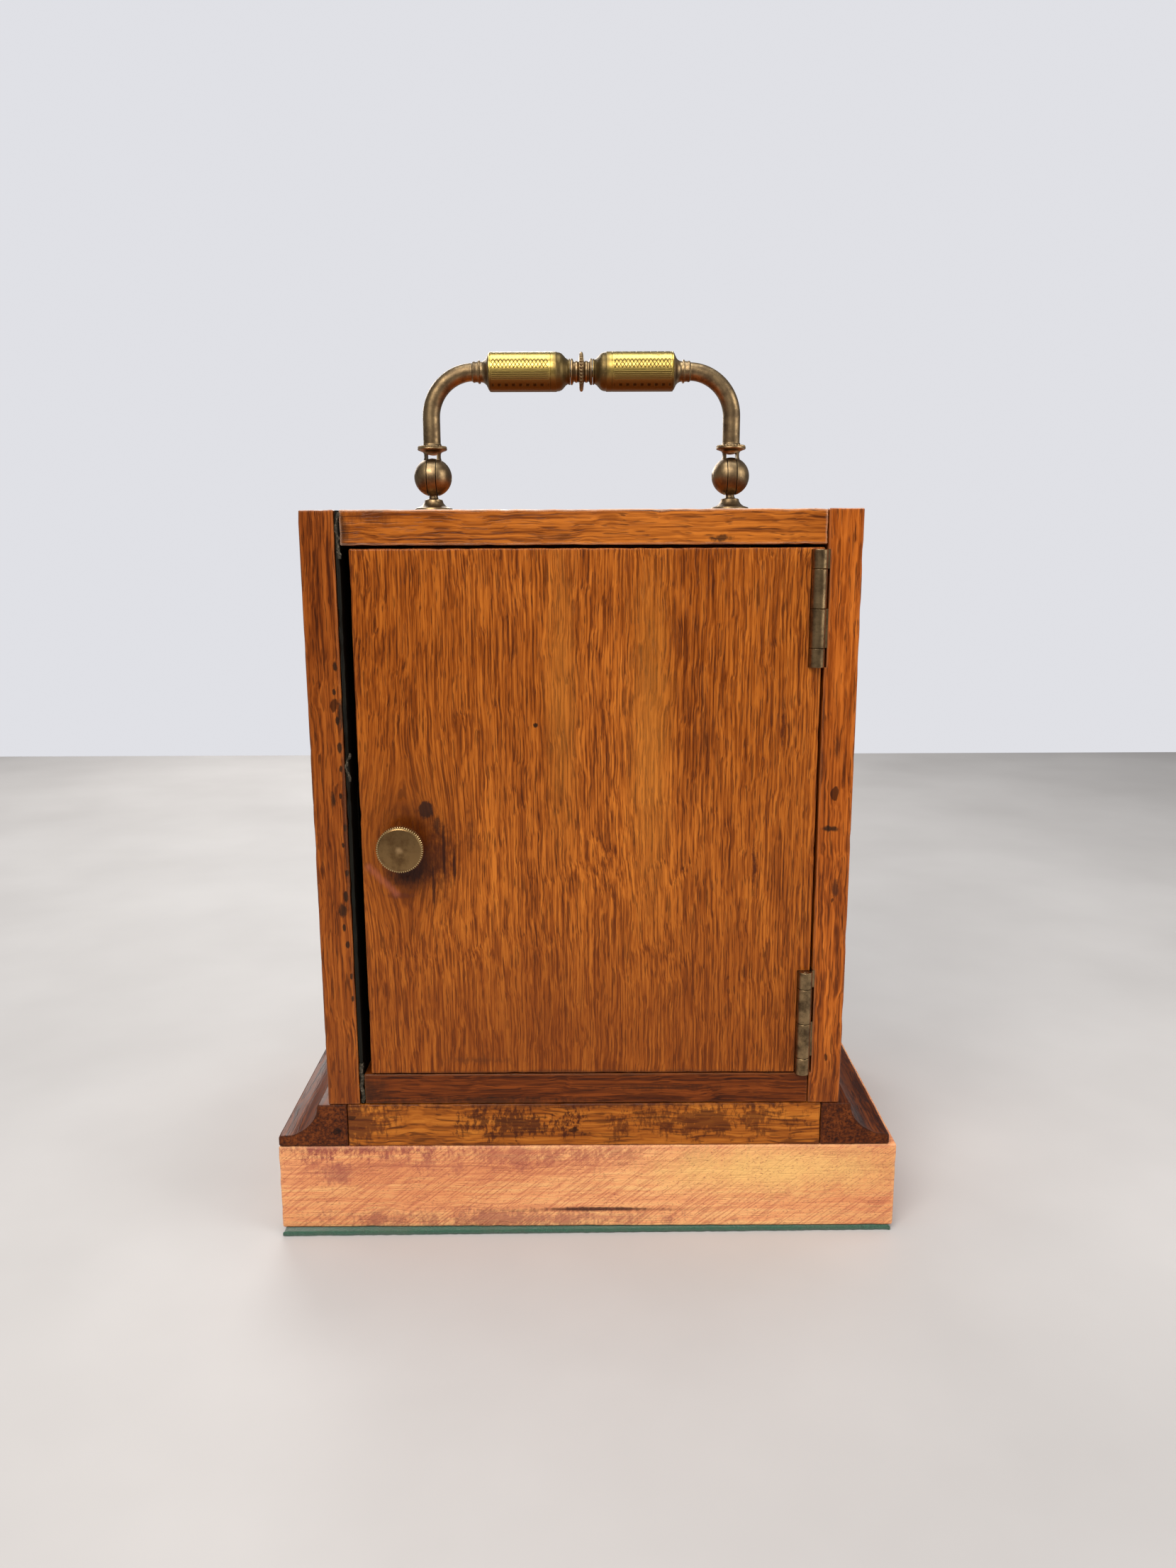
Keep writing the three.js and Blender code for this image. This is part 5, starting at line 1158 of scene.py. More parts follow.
def case_leaf_mortises():
    cuts = []
    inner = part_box("case_side_left")[1].x
    for which in HINGES:
        low, high = hinge_line(which)
        front = REAR_Y - HINGE_LEAF_DEPTH - MORTISE_PLAY
        start = (inner - CASE_LEAF_SUNK - MORTISE_PLAY, front, low.z - MORTISE_PLAY)
        cuts.append(box_shape(start, (inner + MM, REAR_Y + MM, high.z + MORTISE_PLAY)))
    return cuts


def catch_slot():
    """The slot that the catch turns down into."""
    low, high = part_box("latch_tongue")
    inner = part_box("case_side_right")[0].x
    reach = high.z - KNOB_AT.z
    play = 0.4 * MM
    return box_shape(
        (inner - 3 * MM, low.y - play, KNOB_AT.z - 3 * MM - play),
        (KNOB_AT.x + reach + play, high.y + play, KNOB_AT.z + 14.6 * MM),
    )


def make_case(woods):
    right, left = woods["side_right"], woods["side_left"]
    plain_board("side_board_right", "case_side_right", right, seed=5.0, cuts=[catch_slot()])
    plain_board("side_board_left", "case_side_left", left, seed=9.0, cuts=case_leaf_mortises())
    plain_board("top_board", "case_top", woods["top"], seed=2.0, wear=0.2 * MM)
    plain_board("bottom_board", "case_bottom", woods["bottom"], seed=4.0)
    slip = woods["slip"]
    plain_board("black_slip", "side_slip", slip, 0.2 * MM, 0.35 * MM, 6.0, [catch_slot()])
    plain_board("plinth_rail", "plinth_back_rail", woods["rail"], seed=7.0, wear=0.18 * MM)
    plain_board("stop_strip", "door_stop", woods["stop"], 0.3 * MM, seed=8.0)
    plain_board("base_block_wood", "base_block", woods["block"], BLOCK_ARRIS, 0.15 * MM, 11.0)
    low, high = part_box("front_panel")
    panel = board_shape(low, high, ARRIS, 0.12 * MM, 12.0).mesh("front_board")
    hole = round_bar(DIAL_HOLE, CUT_REACH, (0, high.y, DIAL_AT.z), "y", 96)
    finish_piece("front_board", carve(panel, [hole]), woods["panel"], "case", ["front_panel"])
    make_mouldings(woods)
    make_joint_filler()


def moulding_profile():
    """The moulding's section as (distance out from the case, height): a nose, a hollow and a narrow ledge."""
    low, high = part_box("plinth_moulding_right")
    case_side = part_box("case_side_right")[1].x
    inner = low.x - case_side
    out = high.x - case_side
    nose_top = low.z + 3.4 * MM
    nose_inner = out - 3.6 * MM
    ledge = 3.3 * MM
    hollow_top = high.z - 0.6 * MM
    small, eased = 0.2 * MM, 0.35 * MM
    points = [(inner, low.z + small), (inner + small, low.z), (out - eased, low.z), (out, low.z + eased)]
    points += [(out, nose_top - 4 * small), (out - small, nose_top - eased)]
    points.append((out - 3 * small, nose_top - small / 2))
    for i in range(17):
        angle = HALF_TURN / 2 * i / 16
        across = nose_inner - (nose_inner - ledge) * math.sin(angle)
        height = hollow_top - (hollow_top - nose_top) * math.cos(angle)
        straight = (hollow_top - nose_top) * (nose_inner - across) / (nose_inner - ledge)
        points.append((across, height + (nose_top + straight - height) * HOLLOW_EASE))
    points += [(ledge - 0.1 * MM, high.z - 0.2 * MM), (ledge - 0.4 * MM, high.z), (inner + 0.2 * MM, high.z)]
    points.append((inner, high.z - 0.2 * MM))
    return points


def run_of_moulding(profile, place, stations):
    """Carries the section through each station. place gives a point from (out, height, station)."""
    count = len(profile)
    middle = (sum(p[0] for p in profile) / count, sum(p[1] for p in profile) / count)
    points, faces = [], []
    for station, inset in stations:
        for out, height in profile:
            away = Vector((out - middle[0], height - middle[1]))
            eased = away * (1 - inset / max(away.length, 1e-6))
            here = Vector(place(middle[0] + eased.x, middle[1] + eased.y, station))
            bruise = max(0.0, noise.noise(here * 240) - 0.15) * 0.5 * MM
            points.append(here + Vector((0, 0, middle[1] - here.z)).normalized() * bruise)
    for i in range(len(stations) - 1):
        for k in range(count):
            m = (k + 1) % count
            faces.append((i * count + k, i * count + m, (i + 1) * count + m, (i + 1) * count + k))
    faces.append(tuple(range(count))[::-1])
    faces.append(tuple(range((len(stations) - 1) * count, len(stations) * count)))
    return Shape().add(points, faces)


def make_mouldings(woods):
    profile = moulding_profile()
    case_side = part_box("case_side_right")[1].x
    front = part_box("case_side_right")[0].y
    inner_steps = [(i / 40, 0.0) for i in range(1, 40)]
    stations = [(0.0, 0.0), *inner_steps, (0.994, 0.0), (0.998, 0.12 * MM), (1.0, 0.4 * MM)]
    for name, side in (("left", -1), ("right", 1)):

        def along_side(out, height, station, side=side):
            start = front - out + 0.1 * MM
            return (side * (case_side + out), start + (REAR_Y - start) * station, height)

        piece = f"moulding_{name}"
        mesh = run_of_moulding(profile, along_side, stations).mesh(piece)
        finish_piece(piece, mesh, woods["moulding"], "case", [f"plinth_{piece}"], 28)

    def along_front(out, height, station):
        half = case_side + out - 0.1 * MM
        return (-half + 2 * half * station, front - out, height)

    stations = [(0.0, 0.0), *inner_steps, (1.0, 0.0)]
    piece = "moulding_front"
    mesh = run_of_moulding(profile, along_front, stations).mesh(piece)
    finish_piece(piece, mesh, woods["front_moulding"], "case", ["plinth_moulding_front"], 28)


def lump_at(place):
    """An uneven push in all three directions, always the same at the same place."""
    return Vector([noise.noise(place + Vector((shift, 0, 0))) for shift in (0, 31, 67)])


def make_joint_filler():
    """Old grey filler, cracked and frayed, at the ends of the black slip."""
    material, tree, surface = new_finish("grey_filler", Specular_IOR_Level=0.2)
    crumbs = tree.noise(tree.object_place(), 1500, detail=4, roughness=0.7)
    stops = [(0.35, (0.012, 0.010, 0.007)), (0.55, (0.055, 0.045, 0.030)), (0.8, (0.26, 0.21, 0.15))]
    rough = tree.spread(crumbs, 0.2, 0.8, 0.7, 0.95)
    tree.dress(surface, tree.ramp(crumbs, stops), rough, tree.bump(crumbs, 0.8, 0.0004))
    low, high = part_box("side_slip")
    middle = (low.x + high.x) / 2
    runs = [
        (high.z - 13 * MM, high.z - 0.6 * MM, 0.42 * MM),
        (low.z + 0.5 * MM, low.z + 13 * MM, 0.6 * MM),
        (low.z + 98 * MM, low.z + 106 * MM, 0.35 * MM),
    ]
    shape = Shape()
    for start, end, girth in runs:
        path, count = [], 30
        for i in range(count):
            z = start + (end - start) * i / (count - 1)
            sway = noise.noise(Vector((z * 260, 3.1, 0))) * 0.9 * MM
            path.append(Vector((middle - 0.2 * MM + sway, high.y - 0.25 * MM, z)))
        shape.tube(path, girth, sides=9)
    mesh = shape.mesh("joint_filler")
    for vertex in mesh.vertices:
        lump = lump_at(vertex.co * 900) * 0.42 * MM
        vertex.co += Vector((lump.x, lump.y * 0.6, lump.z))
    finish_piece("joint_filler", mesh, material, "case", crease=80)


def make_felt(metals):
    """The sheet of baize under the block. Its rear edge is frayed and sticks out further on the right."""
    low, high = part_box("felt_pad")
    rear_left = REAR_Y + 0.3 * MM
    corners = [(low.x, low.y), (high.x, low.y), (high.x, high.y), (low.x, rear_left)]
    outline = []
    for i, (start, end) in enumerate(zip(corners, corners[1:] + corners[:1], strict=True)):
        start, end = Vector(start), Vector(end)
        away = Vector(((end - start).y, -(end - start).x)).normalized()
        count = max(2, round((end - start).length / (0.8 * MM)))
        for k in range(count):
            point = start + (end - start) * k / count
            fray = 0.5 + 0.5 * noise.noise(Vector((point.x * 700, point.y * 700, i)))
            outline.append(tuple(point - away * fray * 0.55 * MM))
    mesh = Shape().slab(outline, low.z, high.z, 0.35 * MM, axis="z").mesh("baize_sheet")
    felt = finish_piece("baize_sheet", mesh, metals["baize"], "case", ["felt_pad"], 70)


# ---------------------------------------------------------------- brass furniture


def half_turned(mesh, name):
    """A copy of a right-hand piece of the handle, turned round to the left."""
    copy = mesh.copy()
    copy.name = name
    about = Vector((0, PIVOT_AT.y, 0))
    turn = Matrix.Rotation(HALF_TURN, 4, "Z")
    copy.transform(Matrix.Translation(about) @ turn @ Matrix.Translation(-about))
    return copy


def both_ends(name, mesh, material, body, node):
    left = half_turned(mesh, f"{name}_left")
    finish_piece(f"{name}_right", mesh, material, body, [f"{node}_right"])
    finish_piece(f"{name}_left", left, material, body, [f"{node}_left"])


def in_mm(profile):
    return [(radius * MM, along * MM) for radius, along in profile]


# Sections of the handle's turned pieces, in millimetres, as (radius, place along the axis). The foot is
# measured from the case's top, the neck and the pin from the pivot, and the rest from the handle's middle.
FOOT_SECTION = (
    (0, 0), (5.7, 0), (5.95, 0.25), (5.95, 2.45), (5.8, 2.75), (5.2, 2.95), (4.3, 3.25), (3.6, 3.75),
    (3.1, 4.4), (2.85, 5.05), (2.8, 5.35), (2.5, 5.5), (1.9, 5.55), (1.55, 5.8), (1.36, 6.3), (1.36, 7.4),
    (0, 7.4),
)  # fmt: skip
NECK_SECTION = (
    (2.62, 5.9), (2.62, 7.0), (2.9, 7.6), (3.7, 7.95), (4.45, 8.2), (4.65, 8.5), (4.6, 8.85), (4.1, 9.1),
    (3.3, 9.3), (2.95, 9.7), (2.85, 10.1), (0, 10.1),
)  # fmt: skip
ARM_CAP_SECTION = (
    (0, 28.6), (5.5, 28.6), (5.35, 28.8), (4.7, 29.1), (3.9, 29.5), (3.4, 30.0), (3.1, 30.6), (3.0, 31.1),
    (3.05, 31.3), (3.4, 31.4), (3.5, 31.7), (3.4, 32.0), (3.05, 32.1), (3.0, 32.9), (3.1, 33.1), (3.15, 33.4),
    (3.05, 33.65), (2.75, 33.9), (0, 34.1),
)  # fmt: skip
GRIP_SECTION = (
    (0, 3.5), (3.8, 3.5), (3.85, 3.9), (3.6, 4.1), (3.75, 4.4), (4.1, 4.9), (4.8, 5.5), (5.35, 6.1),
    (5.65, 6.8), (5.75, 7.6), (5.9, 7.8), (5.9, 9.4), (5.82, 9.5), (5.9, 9.6), (5.9, 27.9), (5.82, 28.0),
    (5.9, 28.1), (5.85, 28.4), (5.7, 28.5), (0, 28.5),
)  # fmt: skip
SPOOL_HALF_SECTION = (
    (0.0, 3.4), (3.7, 3.4), (3.9, 3.2), (3.9, 2.8), (3.6, 2.6), (3.0, 2.4), (2.9, 2.1), (3.2, 1.8),
    (3.2, 1.3), (2.9, 1.0), (3.3, 0.8), (4.4, 0.68), (5.25, 0.6),
)  # fmt: skip
PIN_SECTION = ((0, -5.3), (0.8, -5.3), (1.08, -5.0), (1.08, 5.0), (0.8, 5.3), (0, 5.3))


def foot_mesh():
    foot = Shape().turned(in_mm(FOOT_SECTION), (PIVOT_AT.x, PIVOT_AT.y, CASE_TOP + 0.1 * MM))
    radius = BALL_RADIUS - 0.1 * MM
    across = [TONGUE_HALF * (2 * i / 8 - 1) for i in range(9)]
    rim = [(math.sqrt(radius**2 - x**2), x) for x in across]
    profile = [(PIN_BORE, -TONGUE_HALF), *rim, (PIN_BORE, TONGUE_HALF), (PIN_BORE, -TONGUE_HALF)]
    foot.turned(profile, PIVOT_AT, axis="x")
    return foot.mesh("handle_foot")


def arm_mesh():
    ball = []
    for i in range(25):
        angle = -HALF_TURN / 2 + HALF_TURN * 0.84 * i / 24
        ball.append((BALL_RADIUS * math.cos(angle), BALL_RADIUS * math.sin(angle)))
    ball[0] = (0.0, -BALL_RADIUS)
    fork = Shape().turned(ball + in_mm(NECK_SECTION), PIVOT_AT)
    slot = round_bar(FORK_SLOT_TOP, FORK_SLOT_HALF, PIVOT_AT, "x", 40)
    bore = round_bar(PIN_BORE, 9 * MM, PIVOT_AT, "x", 20)
    mesh = carve(carve(fork.mesh("fork"), [slot]), [bore])
    rest = Shape().beads(COLLAR_BEADS, 4.15 * MM, 0.42 * MM, PIVOT_AT + Vector((0, 0, 9.05 * MM)))
    corner = Vector((PIVOT_AT.x - ROD_BEND, PIVOT_AT.y, GRIP_AT.z - ROD_BEND))
    path = [Vector((PIVOT_AT.x, PIVOT_AT.y, PIVOT_AT.z + COLLAR_HEIGHT + 0.6 * MM))]
    for i in range(25):
        angle = HALF_TURN / 2 * i / 24
        path.append(corner + Vector((math.cos(angle), 0, math.sin(angle))) * ROD_BEND)
    path.append(Vector((33.0 * MM, GRIP_AT.y, GRIP_AT.z)))
    rest.tube(path, ROD_RADIUS)
    rest.turned(in_mm(ARM_CAP_SECTION), (0, GRIP_AT.y, GRIP_AT.z), axis="x")
    work = bmesh.new()
    work.from_mesh(mesh)
    work.from_mesh(rest.mesh("rod"))
    work.to_mesh(mesh)
    work.free()
    return mesh


def make_handle(metals):
    both_ends("foot", foot_mesh(), metals["aged"], "case", "handle_foot")
    both_ends("arm", arm_mesh(), metals["aged"], "bail", "handle_arm")
    pin = Shape().turned(in_mm(PIN_SECTION), PIVOT_AT, axis="x", sides=24)
    both_ends("pivot_pin", pin.mesh("pivot_pin"), metals["aged"], "case", "handle_pin")
    centre = (0, GRIP_AT.y, GRIP_AT.z)
    grip = Shape().turned(in_mm(GRIP_SECTION), centre, axis="x", sides=96)
    both_ends("grip", grip.mesh("grip"), metals["grip"], "bail", "handle_grip")
    profile = [(radius, -along) for radius, along in SPOOL_HALF_SECTION] + list(SPOOL_HALF_SECTION[::-1])
    spool = Shape().turned(in_mm(profile), centre, axis="x")
    spool.beads(SPOOL_BEADS, 5.3 * MM, 0.55 * MM, centre, axis="x")
    finish_piece("spool", spool.mesh("spool"), metals["aged"], "bail", ["handle_spool"])


def knob_outline(radius):
    """The knob's milled rim as (x, z) points about its centre."""
    points = []
    for i in range(KNOB_TEETH):
        for share, depth in ((0.0, KNOB_TOOTH_DEPTH), (0.3, 0.0), (0.7, 0.0)):
            angle = 2 * HALF_TURN * (i + share) / KNOB_TEETH
            points.append(((radius - depth) * math.cos(angle), (radius - depth) * math.sin(angle)))
    return points


def make_knob(metals):
    low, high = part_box("door_knob")
    face = high.y
    radius = (high.x - low.x) / 2
    outline = [(KNOB_AT.x + x, KNOB_AT.z + z) for x, z in knob_outline(radius)]
    knob = Shape().slab(outline, face - 2.6 * MM, face - 0.35 * MM, arris=0.18 * MM)
    end, wood, edge = (low.y - face) / MM, (REAR_Y - face) / MM, radius / MM
    spindle = [(0, end), (1.8, end), (1.9, end + 0.2), (1.9, wood + 0.3)]
    boss = [(3.8, 0.32), (3.7, 0.9), (3.0, 1.4), (2.5, 2.4), (2.45, 3.6)]
    neck = [(across, wood + along) for across, along in boss]
    head = [(3.0, -2.55), (edge - 0.5, -2.5), (edge - 0.42, -0.42), (edge - 0.75, -0.2), (4.6, -0.1)]
    nib = [(2.0, -0.02), (0.5, -0.01), (0, 0)]
    knob.turned(in_mm(spindle + neck + head + nib), (KNOB_AT.x, face, KNOB_AT.z), axis="y")
    mesh = knob.mesh("milled_knob")
    finish_piece("milled_knob", mesh, metals["knob"], "catch", ["door_knob"], 25)


def screw_shape(centre, out, head):
    """A countersunk slotted screw head, proud by a hair, looking along the line out."""
    outline = []
    for i in range(20):
        angle = 2 * HALF_TURN * i / 20
        outline.append((head * math.cos(angle), head * math.sin(angle)))
    disc = Shape().slab(outline, -0.3 * MM, 0.05 * MM, arris=0.04 * MM)
    slot = box_shape((-head * 1.2, -0.12 * MM, -0.16 * MM), (head * 1.2, 0.4 * MM, 0.16 * MM))
    mesh = carve(disc.mesh("screw"), [slot])
    turn = Vector((0, 1, 0)).rotation_difference(Vector(out))
    points = [Vector(centre) + turn @ vertex.co for vertex in mesh.vertices]
    return Shape().add(points, [tuple(face.vertices) for face in mesh.polygons])


KNUCKLE_RADIUS = 2.1 * MM
KNUCKLE_BORE = 1.01 * MM
KNUCKLE_EASE = 0.16 * MM
KNUCKLE_GAP = 0.12 * MM
END_KNUCKLE = 5.2 * MM  # length of the knuckle at either end


def knuckle(shape, axis, bottom, top):
    """One short barrel of a hinge, round its pin."""
    profile = [
        (KNUCKLE_BORE, bottom),
        (KNUCKLE_RADIUS - KNUCKLE_EASE, bottom),
        (KNUCKLE_RADIUS, bottom + KNUCKLE_EASE),
        (KNUCKLE_RADIUS, top - KNUCKLE_EASE),
        (KNUCKLE_RADIUS - KNUCKLE_EASE, top),
        (KNUCKLE_BORE, top), (KNUCKLE_BORE, bottom),
    ]
    shape.turned(profile, (axis.x, axis.y, 0), sides=40)


def hinge_leaf(which, leaf):
    """A plate with its two knuckles, the webs that join them, and its screws."""
    low, high = hinge_line(which)
    axis = (low + high) / 2
    length = high.z - low.z
    cuts = [0, END_KNUCKLE, length / 2, length - END_KNUCKLE, length]
    on_case = leaf == "case"
    leaf_low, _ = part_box(f"hinge_{which}_{leaf}_leaf")
    x = leaf_low.x if on_case else DOOR_LOW.x
    rear = axis.y - 2.3 * MM
    corners = Vector((x, leaf_low.y, low.z)), Vector((x + HINGE_LEAF, rear, high.z))
    shape = board_shape(*corners, 0.14 * MM, 0.0, 1.0, 8 * MM)
    for i in (0, 2) if on_case else (1, 3):
        top = high.z - cuts[i]
        bottom = high.z - cuts[i + 1] + (KNUCKLE_GAP if i < 3 else 0)
        knuckle(shape, axis, bottom, top)
        web_rear = REAR_Y if on_case else axis.y - 1.2 * MM
        shape.join(box_shape((x, rear - MM, bottom), (x + HINGE_LEAF, web_rear, top)))
        if on_case:
            reach = (axis.x - KNUCKLE_BORE - 0.35 * MM, REAR_Y + 0.4 * MM, top)
            shape.join(box_shape((x + CASE_LEAF_SUNK, REAR_Y - 0.5 * MM, bottom), reach))
    for i in range(HINGE_SCREWS):
        z = low.z + length * (i + 0.5) / HINGE_SCREWS
        face = x + HINGE_LEAF if on_case else x
        y = (leaf_low.y + rear) / 2 + (0.8 * MM if i % 2 else -0.8 * MM)
        shape.join(screw_shape((face, y, z), (1 if on_case else -1, 0, 0), 1.45 * MM))
    return shape


def make_hinges(metals):
    for which in HINGES:
        for leaf in ("case", "door"):
            node = f"hinge_{which}_{leaf}_leaf"
            mesh = hinge_leaf(which, leaf).mesh(node)
            finish_piece(f"{which}_hinge_{leaf}_leaf", mesh, metals["hinge"], leaf, [node])


# ---------------------------------------------------------------- dial and front

NUMERALS = ("XII", "I", "II", "III", "IIII", "V", "VI", "VII", "VIII", "IX", "X", "XI")
NUMERAL_HEIGHT = 8.6 * MM
NUMERAL_RADIUS = 33.2 * MM
TRACK_RADII = (41.2 * MM, 43.8 * MM)
MARK_RAISE = 0.05 * MM


def dial_place(angle, from_centre=0.0):
    """Carries (across, up, out) at an angle round the dial to its place on the dial's face."""
    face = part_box("dial")[0].y

    def place(across, up, out):
        radius = from_centre + up
        x = across * math.cos(angle) + radius * math.sin(angle)
        z = radius * math.cos(angle) - across * math.sin(angle)
        return (x, face - out, DIAL_AT.z + z)

    return place


def stroke(shape, start, end, width, place):
    """One painted stroke from start to end on the dial. place is one of dial_place's."""
    start, end = Vector(start), Vector(end)
    side = Vector((-(end - start).y, (end - start).x)).normalized() * width / 2
    corners = [start - side, end - side, end + side, start + side]
    points = [place(c.x, c.y, out) for out in (MARK_RAISE, -MARK_RAISE) for c in corners]
    faces = [(0, 1, 2, 3), (7, 6, 5, 4)] + [(i, i + 4, (i + 1) % 4 + 4, (i + 1) % 4) for i in range(4)]
    shape.add(points, faces)


def paint_numeral(shape, numeral, hour):
    """Roman figures in thick and thin strokes with thin serifs, their feet towards the centre."""
    thick, thin = 1.15 * MM, 0.4 * MM
    widths = {"I": 2.1 * MM, "V": 4.3 * MM, "X": 4.6 * MM}
    total = sum(widths[letter] for letter in numeral)
    low, high = -NUMERAL_HEIGHT / 2, NUMERAL_HEIGHT / 2
    place = dial_place(2 * HALF_TURN * hour / 12, NUMERAL_RADIUS)
    left = -total / 2
    for letter in numeral:
        width = widths[letter]
        middle = left + width / 2
        arm = width / 2 - 0.75 * MM
        if letter == "I":
            stroke(shape, (middle, low), (middle, high), thick, place)
        if letter == "V":
            stroke(shape, (middle - arm, high), (middle, low), thick, place)
            stroke(shape, (middle + arm, high), (middle, low), thin, place)
        if letter == "X":
            stroke(shape, (middle - arm, high), (middle + arm, low), thick, place)
            stroke(shape, (middle + arm, high), (middle - arm, low), thin, place)
        for at in (low, high):
            if letter != "V" or at == high:
                stroke(shape, (left + 0.15 * MM, at), (left + width - 0.15 * MM, at), thin * 0.7, place)
        left += width


def paint_dial(ink):
    shape = Shape()
    centre = (0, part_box("dial")[0].y, DIAL_AT.z)
    for radius in TRACK_RADII:
        ring = [(radius, -MARK_RAISE), (radius + 0.25 * MM, -MARK_RAISE), (radius + 0.25 * MM, MARK_RAISE)]
        shape.turned([*ring, (radius, MARK_RAISE), ring[0]], centre, axis="y", sides=120)
    for minute in range(60):
        width = 0.85 * MM if minute % 5 == 0 else 0.3 * MM
        place = dial_place(2 * HALF_TURN * minute / 60)
        stroke(shape, (0, TRACK_RADII[0]), (0, TRACK_RADII[1]), width, place)
    for hour, numeral in enumerate(NUMERALS):
        paint_numeral(shape, numeral, hour)
    finish_piece("dial_figures", shape.mesh("dial_figures"), ink, "case")


def black_figures_finish():
    """Fired black figures, slightly uneven."""
    material, tree, surface = new_finish("black_figures", Specular_IOR_Level=0.4)
    ink = tree.noise(tree.object_place(), 900, detail=3)
    colour = tree.ramp(ink, [(0.3, (0.006, 0.006, 0.007)), (0.75, (0.030, 0.028, 0.028))])
    tree.dress(surface, colour, tree.spread(ink, 0.3, 0.7, 0.22, 0.4))
    return material


BEZEL_INNER = 47.4 * MM
BEZEL_OUTER = 55.5 * MM
# The bezel's front, in millimetres, as (out from its inner or its outer radius, back from its front).
BEZEL_INNER_CURVE = ((0, 1.5), (0.3, 0.9), (1.0, 0.4), (1.9, 0.1), (3.0, 0), (3.3, 0.45), (3.6, 0.5))
BEZEL_OUTER_CURVE = (
    (-4.1, 0.35), (-3.3, 0.75), (-2.5, 1.5), (-1.6, 2.8), (-1.05, 4.2), (-0.75, 5.6), (-0.7, 6.1),
    (-0.15, 6.3), (0, 6.6),
)  # fmt: skip
DIAL_CENTRE_HOLE = 2.9 * MM
DIAL_THICK = 1.2 * MM
DIAL_SIDES = 144


def make_dial(metals):
    low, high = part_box("dial")
    radius = (high.x - low.x) / 2
    plate = [(DIAL_CENTRE_HOLE, 0), (radius - 0.3 * MM, 0), (radius, 0.25 * MM), (radius, DIAL_THICK)]
    plate += [(DIAL_CENTRE_HOLE, DIAL_THICK), (DIAL_CENTRE_HOLE, 0)]
    dial = Shape().turned(plate, (0, low.y, DIAL_AT.z), axis="y", sides=DIAL_SIDES)
    for angle in (60, 180, 300):
        x = (radius - 12 * MM) * math.cos(math.radians(angle))
        z = (radius - 12 * MM) * math.sin(math.radians(angle))
        foot = [(0, 1.0 * MM), (1.2 * MM, 1.0 * MM), (1.2 * MM, high.y - low.y), (0, high.y - low.y)]
        dial.turned(foot, (x, low.y, DIAL_AT.z + z), axis="y", sides=20)
    finish_piece("enamel_dial", dial.mesh("enamel_dial"), metals["enamel"], "case", ["dial"])
    paint_dial(black_figures_finish())
    make_bezel_and_glass(metals)


def make_bezel_and_glass(metals):
    """The turned bezel, rebated behind for the flat glass."""
    front, back = (corner.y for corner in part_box("bezel"))
    low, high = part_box("glass")
    edge = (high.x - low.x) / 2
    play, ease = 0.3 * MM, 0.2 * MM
    curve = [(BEZEL_INNER + across * MM, front + along * MM) for across, along in BEZEL_INNER_CURVE]
    curve += [(BEZEL_OUTER + across * MM, front + along * MM) for across, along in BEZEL_OUTER_CURVE]
    behind = [(BEZEL_OUTER, back - 0.1 * MM), (BEZEL_OUTER - 0.1 * MM, back), (BEZEL_INNER, back)]
    rebate = [(BEZEL_INNER, high.y + play), (edge + play, high.y + play)]
    rebate += [(edge + play, low.y - play), (BEZEL_INNER, low.y - play)]
    ring = [*curve, *behind, *rebate, curve[0]]
    mesh = Shape().turned(ring, (0, 0, DIAL_AT.z), axis="y", sides=DIAL_SIDES).mesh("dial_bezel")
    finish_piece("dial_bezel", mesh, metals["bright"], "case", ["bezel"], 40)
    profile = [(0, low.y), (edge - ease, low.y), (edge, low.y + ease)]
    profile += [(edge, high.y - ease), (edge - ease, high.y), (0, high.y)]
    pane = Shape().turned(profile, (0, 0, DIAL_AT.z), axis="y", sides=DIAL_SIDES)
    finish_piece("dial_pane", pane.mesh("dial_pane"), metals["glass"], "case", ["glass"])


# ---------------------------------------------------------------- movement

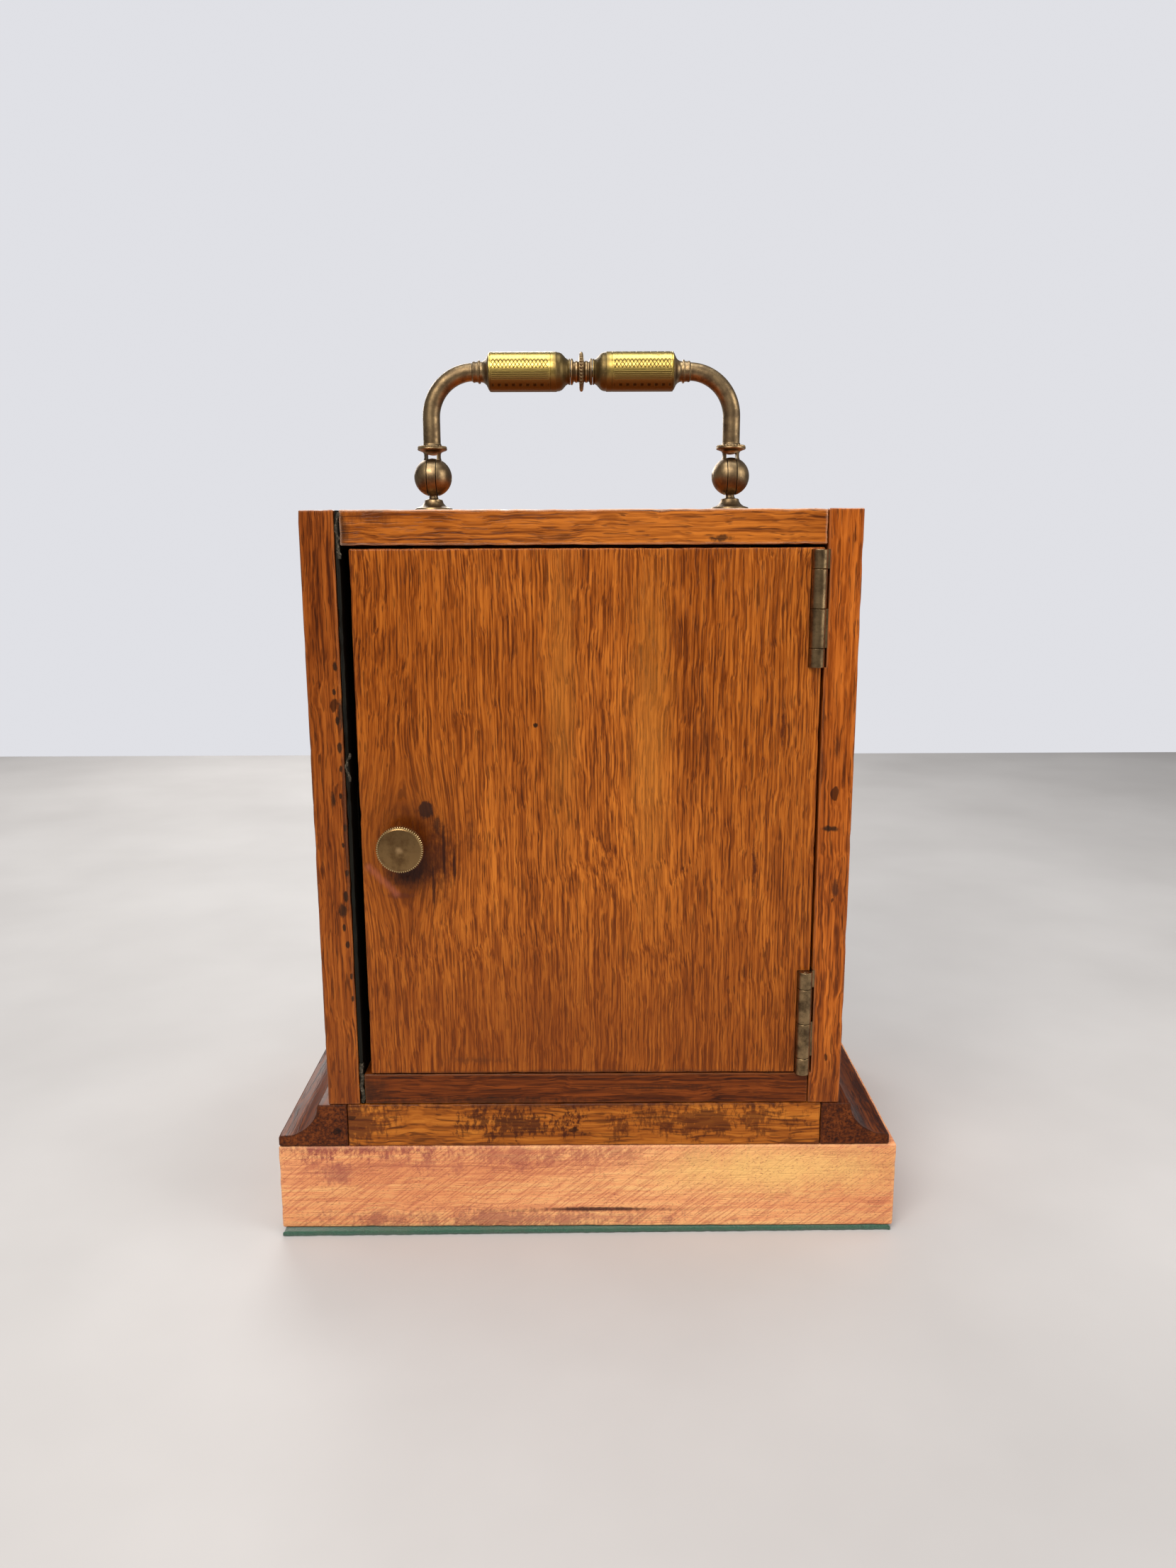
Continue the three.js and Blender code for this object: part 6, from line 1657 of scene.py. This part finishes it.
# Metal pieces whose shape is already right, by their finish.
MACHINED = {
    "wheel": ("barrel", "barrel_cap", "intermediate_wheel", "centre_wheel", "third_wheel", "fourth_wheel")
    + ("cannon_pinion", "minute_wheel", "hour_wheel"),
    "plate": ("front_plate", "back_plate", "balance_cock"),
    "bright": ("winding_key", "set_knob", "balance"),
    "steel": ("handle_core_rod", "centre_arbor", "escape_wheel", "barrel_arbor", "ratchet_wheel")
    + ("click", "lever"),
    "hinge": ("hinge_upper_pin", "hinge_lower_pin", "latch_tongue"),
    "blued": ("mainspring", "hairspring", "minute_hand", "hour_hand"),
}
EASED_EDGE = 0.12 * MM
PILLAR_INSET = 6 * MM  # from the plates' edges to the pillars
PLATE_BACK_FROM_REAR = 70.7 * MM  # from the case's rear to the rear face of the back plate


def finish_machined_pieces(metals):
    """Eases the edges of the machined pieces and gives each its finish."""
    for finish, names in MACHINED.items():
        for name in names:
            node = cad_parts[name]
            node.data.materials.clear()
            node.data.materials.append(metals[finish])
            weld = node.modifiers.new("join_faces", "WELD")
            weld.merge_threshold = 1e-6
            ease = node.modifiers.new("ease_edges", "BEVEL")
            ease.width = EASED_EDGE
            ease.segments = 1
            ease.limit_method = "ANGLE"
            ease.angle_limit = math.radians(50)


def make_plate_screws(metals):
    """Blued screws at the pillars' ends, on the back of the rear plate."""
    low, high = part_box("front_plate")
    rear_face = REAR_Y - PLATE_BACK_FROM_REAR
    shape = Shape()
    for x in (low.x + PILLAR_INSET, high.x - PILLAR_INSET):
        for z in (low.z + PILLAR_INSET, high.z - PILLAR_INSET):
            shape.join(screw_shape((x, rear_face, z), (0, 1, 0), 2.3 * MM))
    finish_piece("plate_screws", shape.mesh("plate_screws"), metals["blued"], "case")


# ---------------------------------------------------------------- the whole clock

place_camera()
light_the_room()
lay_floor()
case_woods = make_case_woods()
finishes = make_metals()
make_door(case_woods)
make_case(case_woods)
make_felt(finishes)
make_handle(finishes)
make_knob(finishes)
make_hinges(finishes)
make_dial(finishes)
finish_machined_pieces(finishes)
make_plate_screws(finishes)
bpy.context.scene.view_settings.view_transform = "Standard"
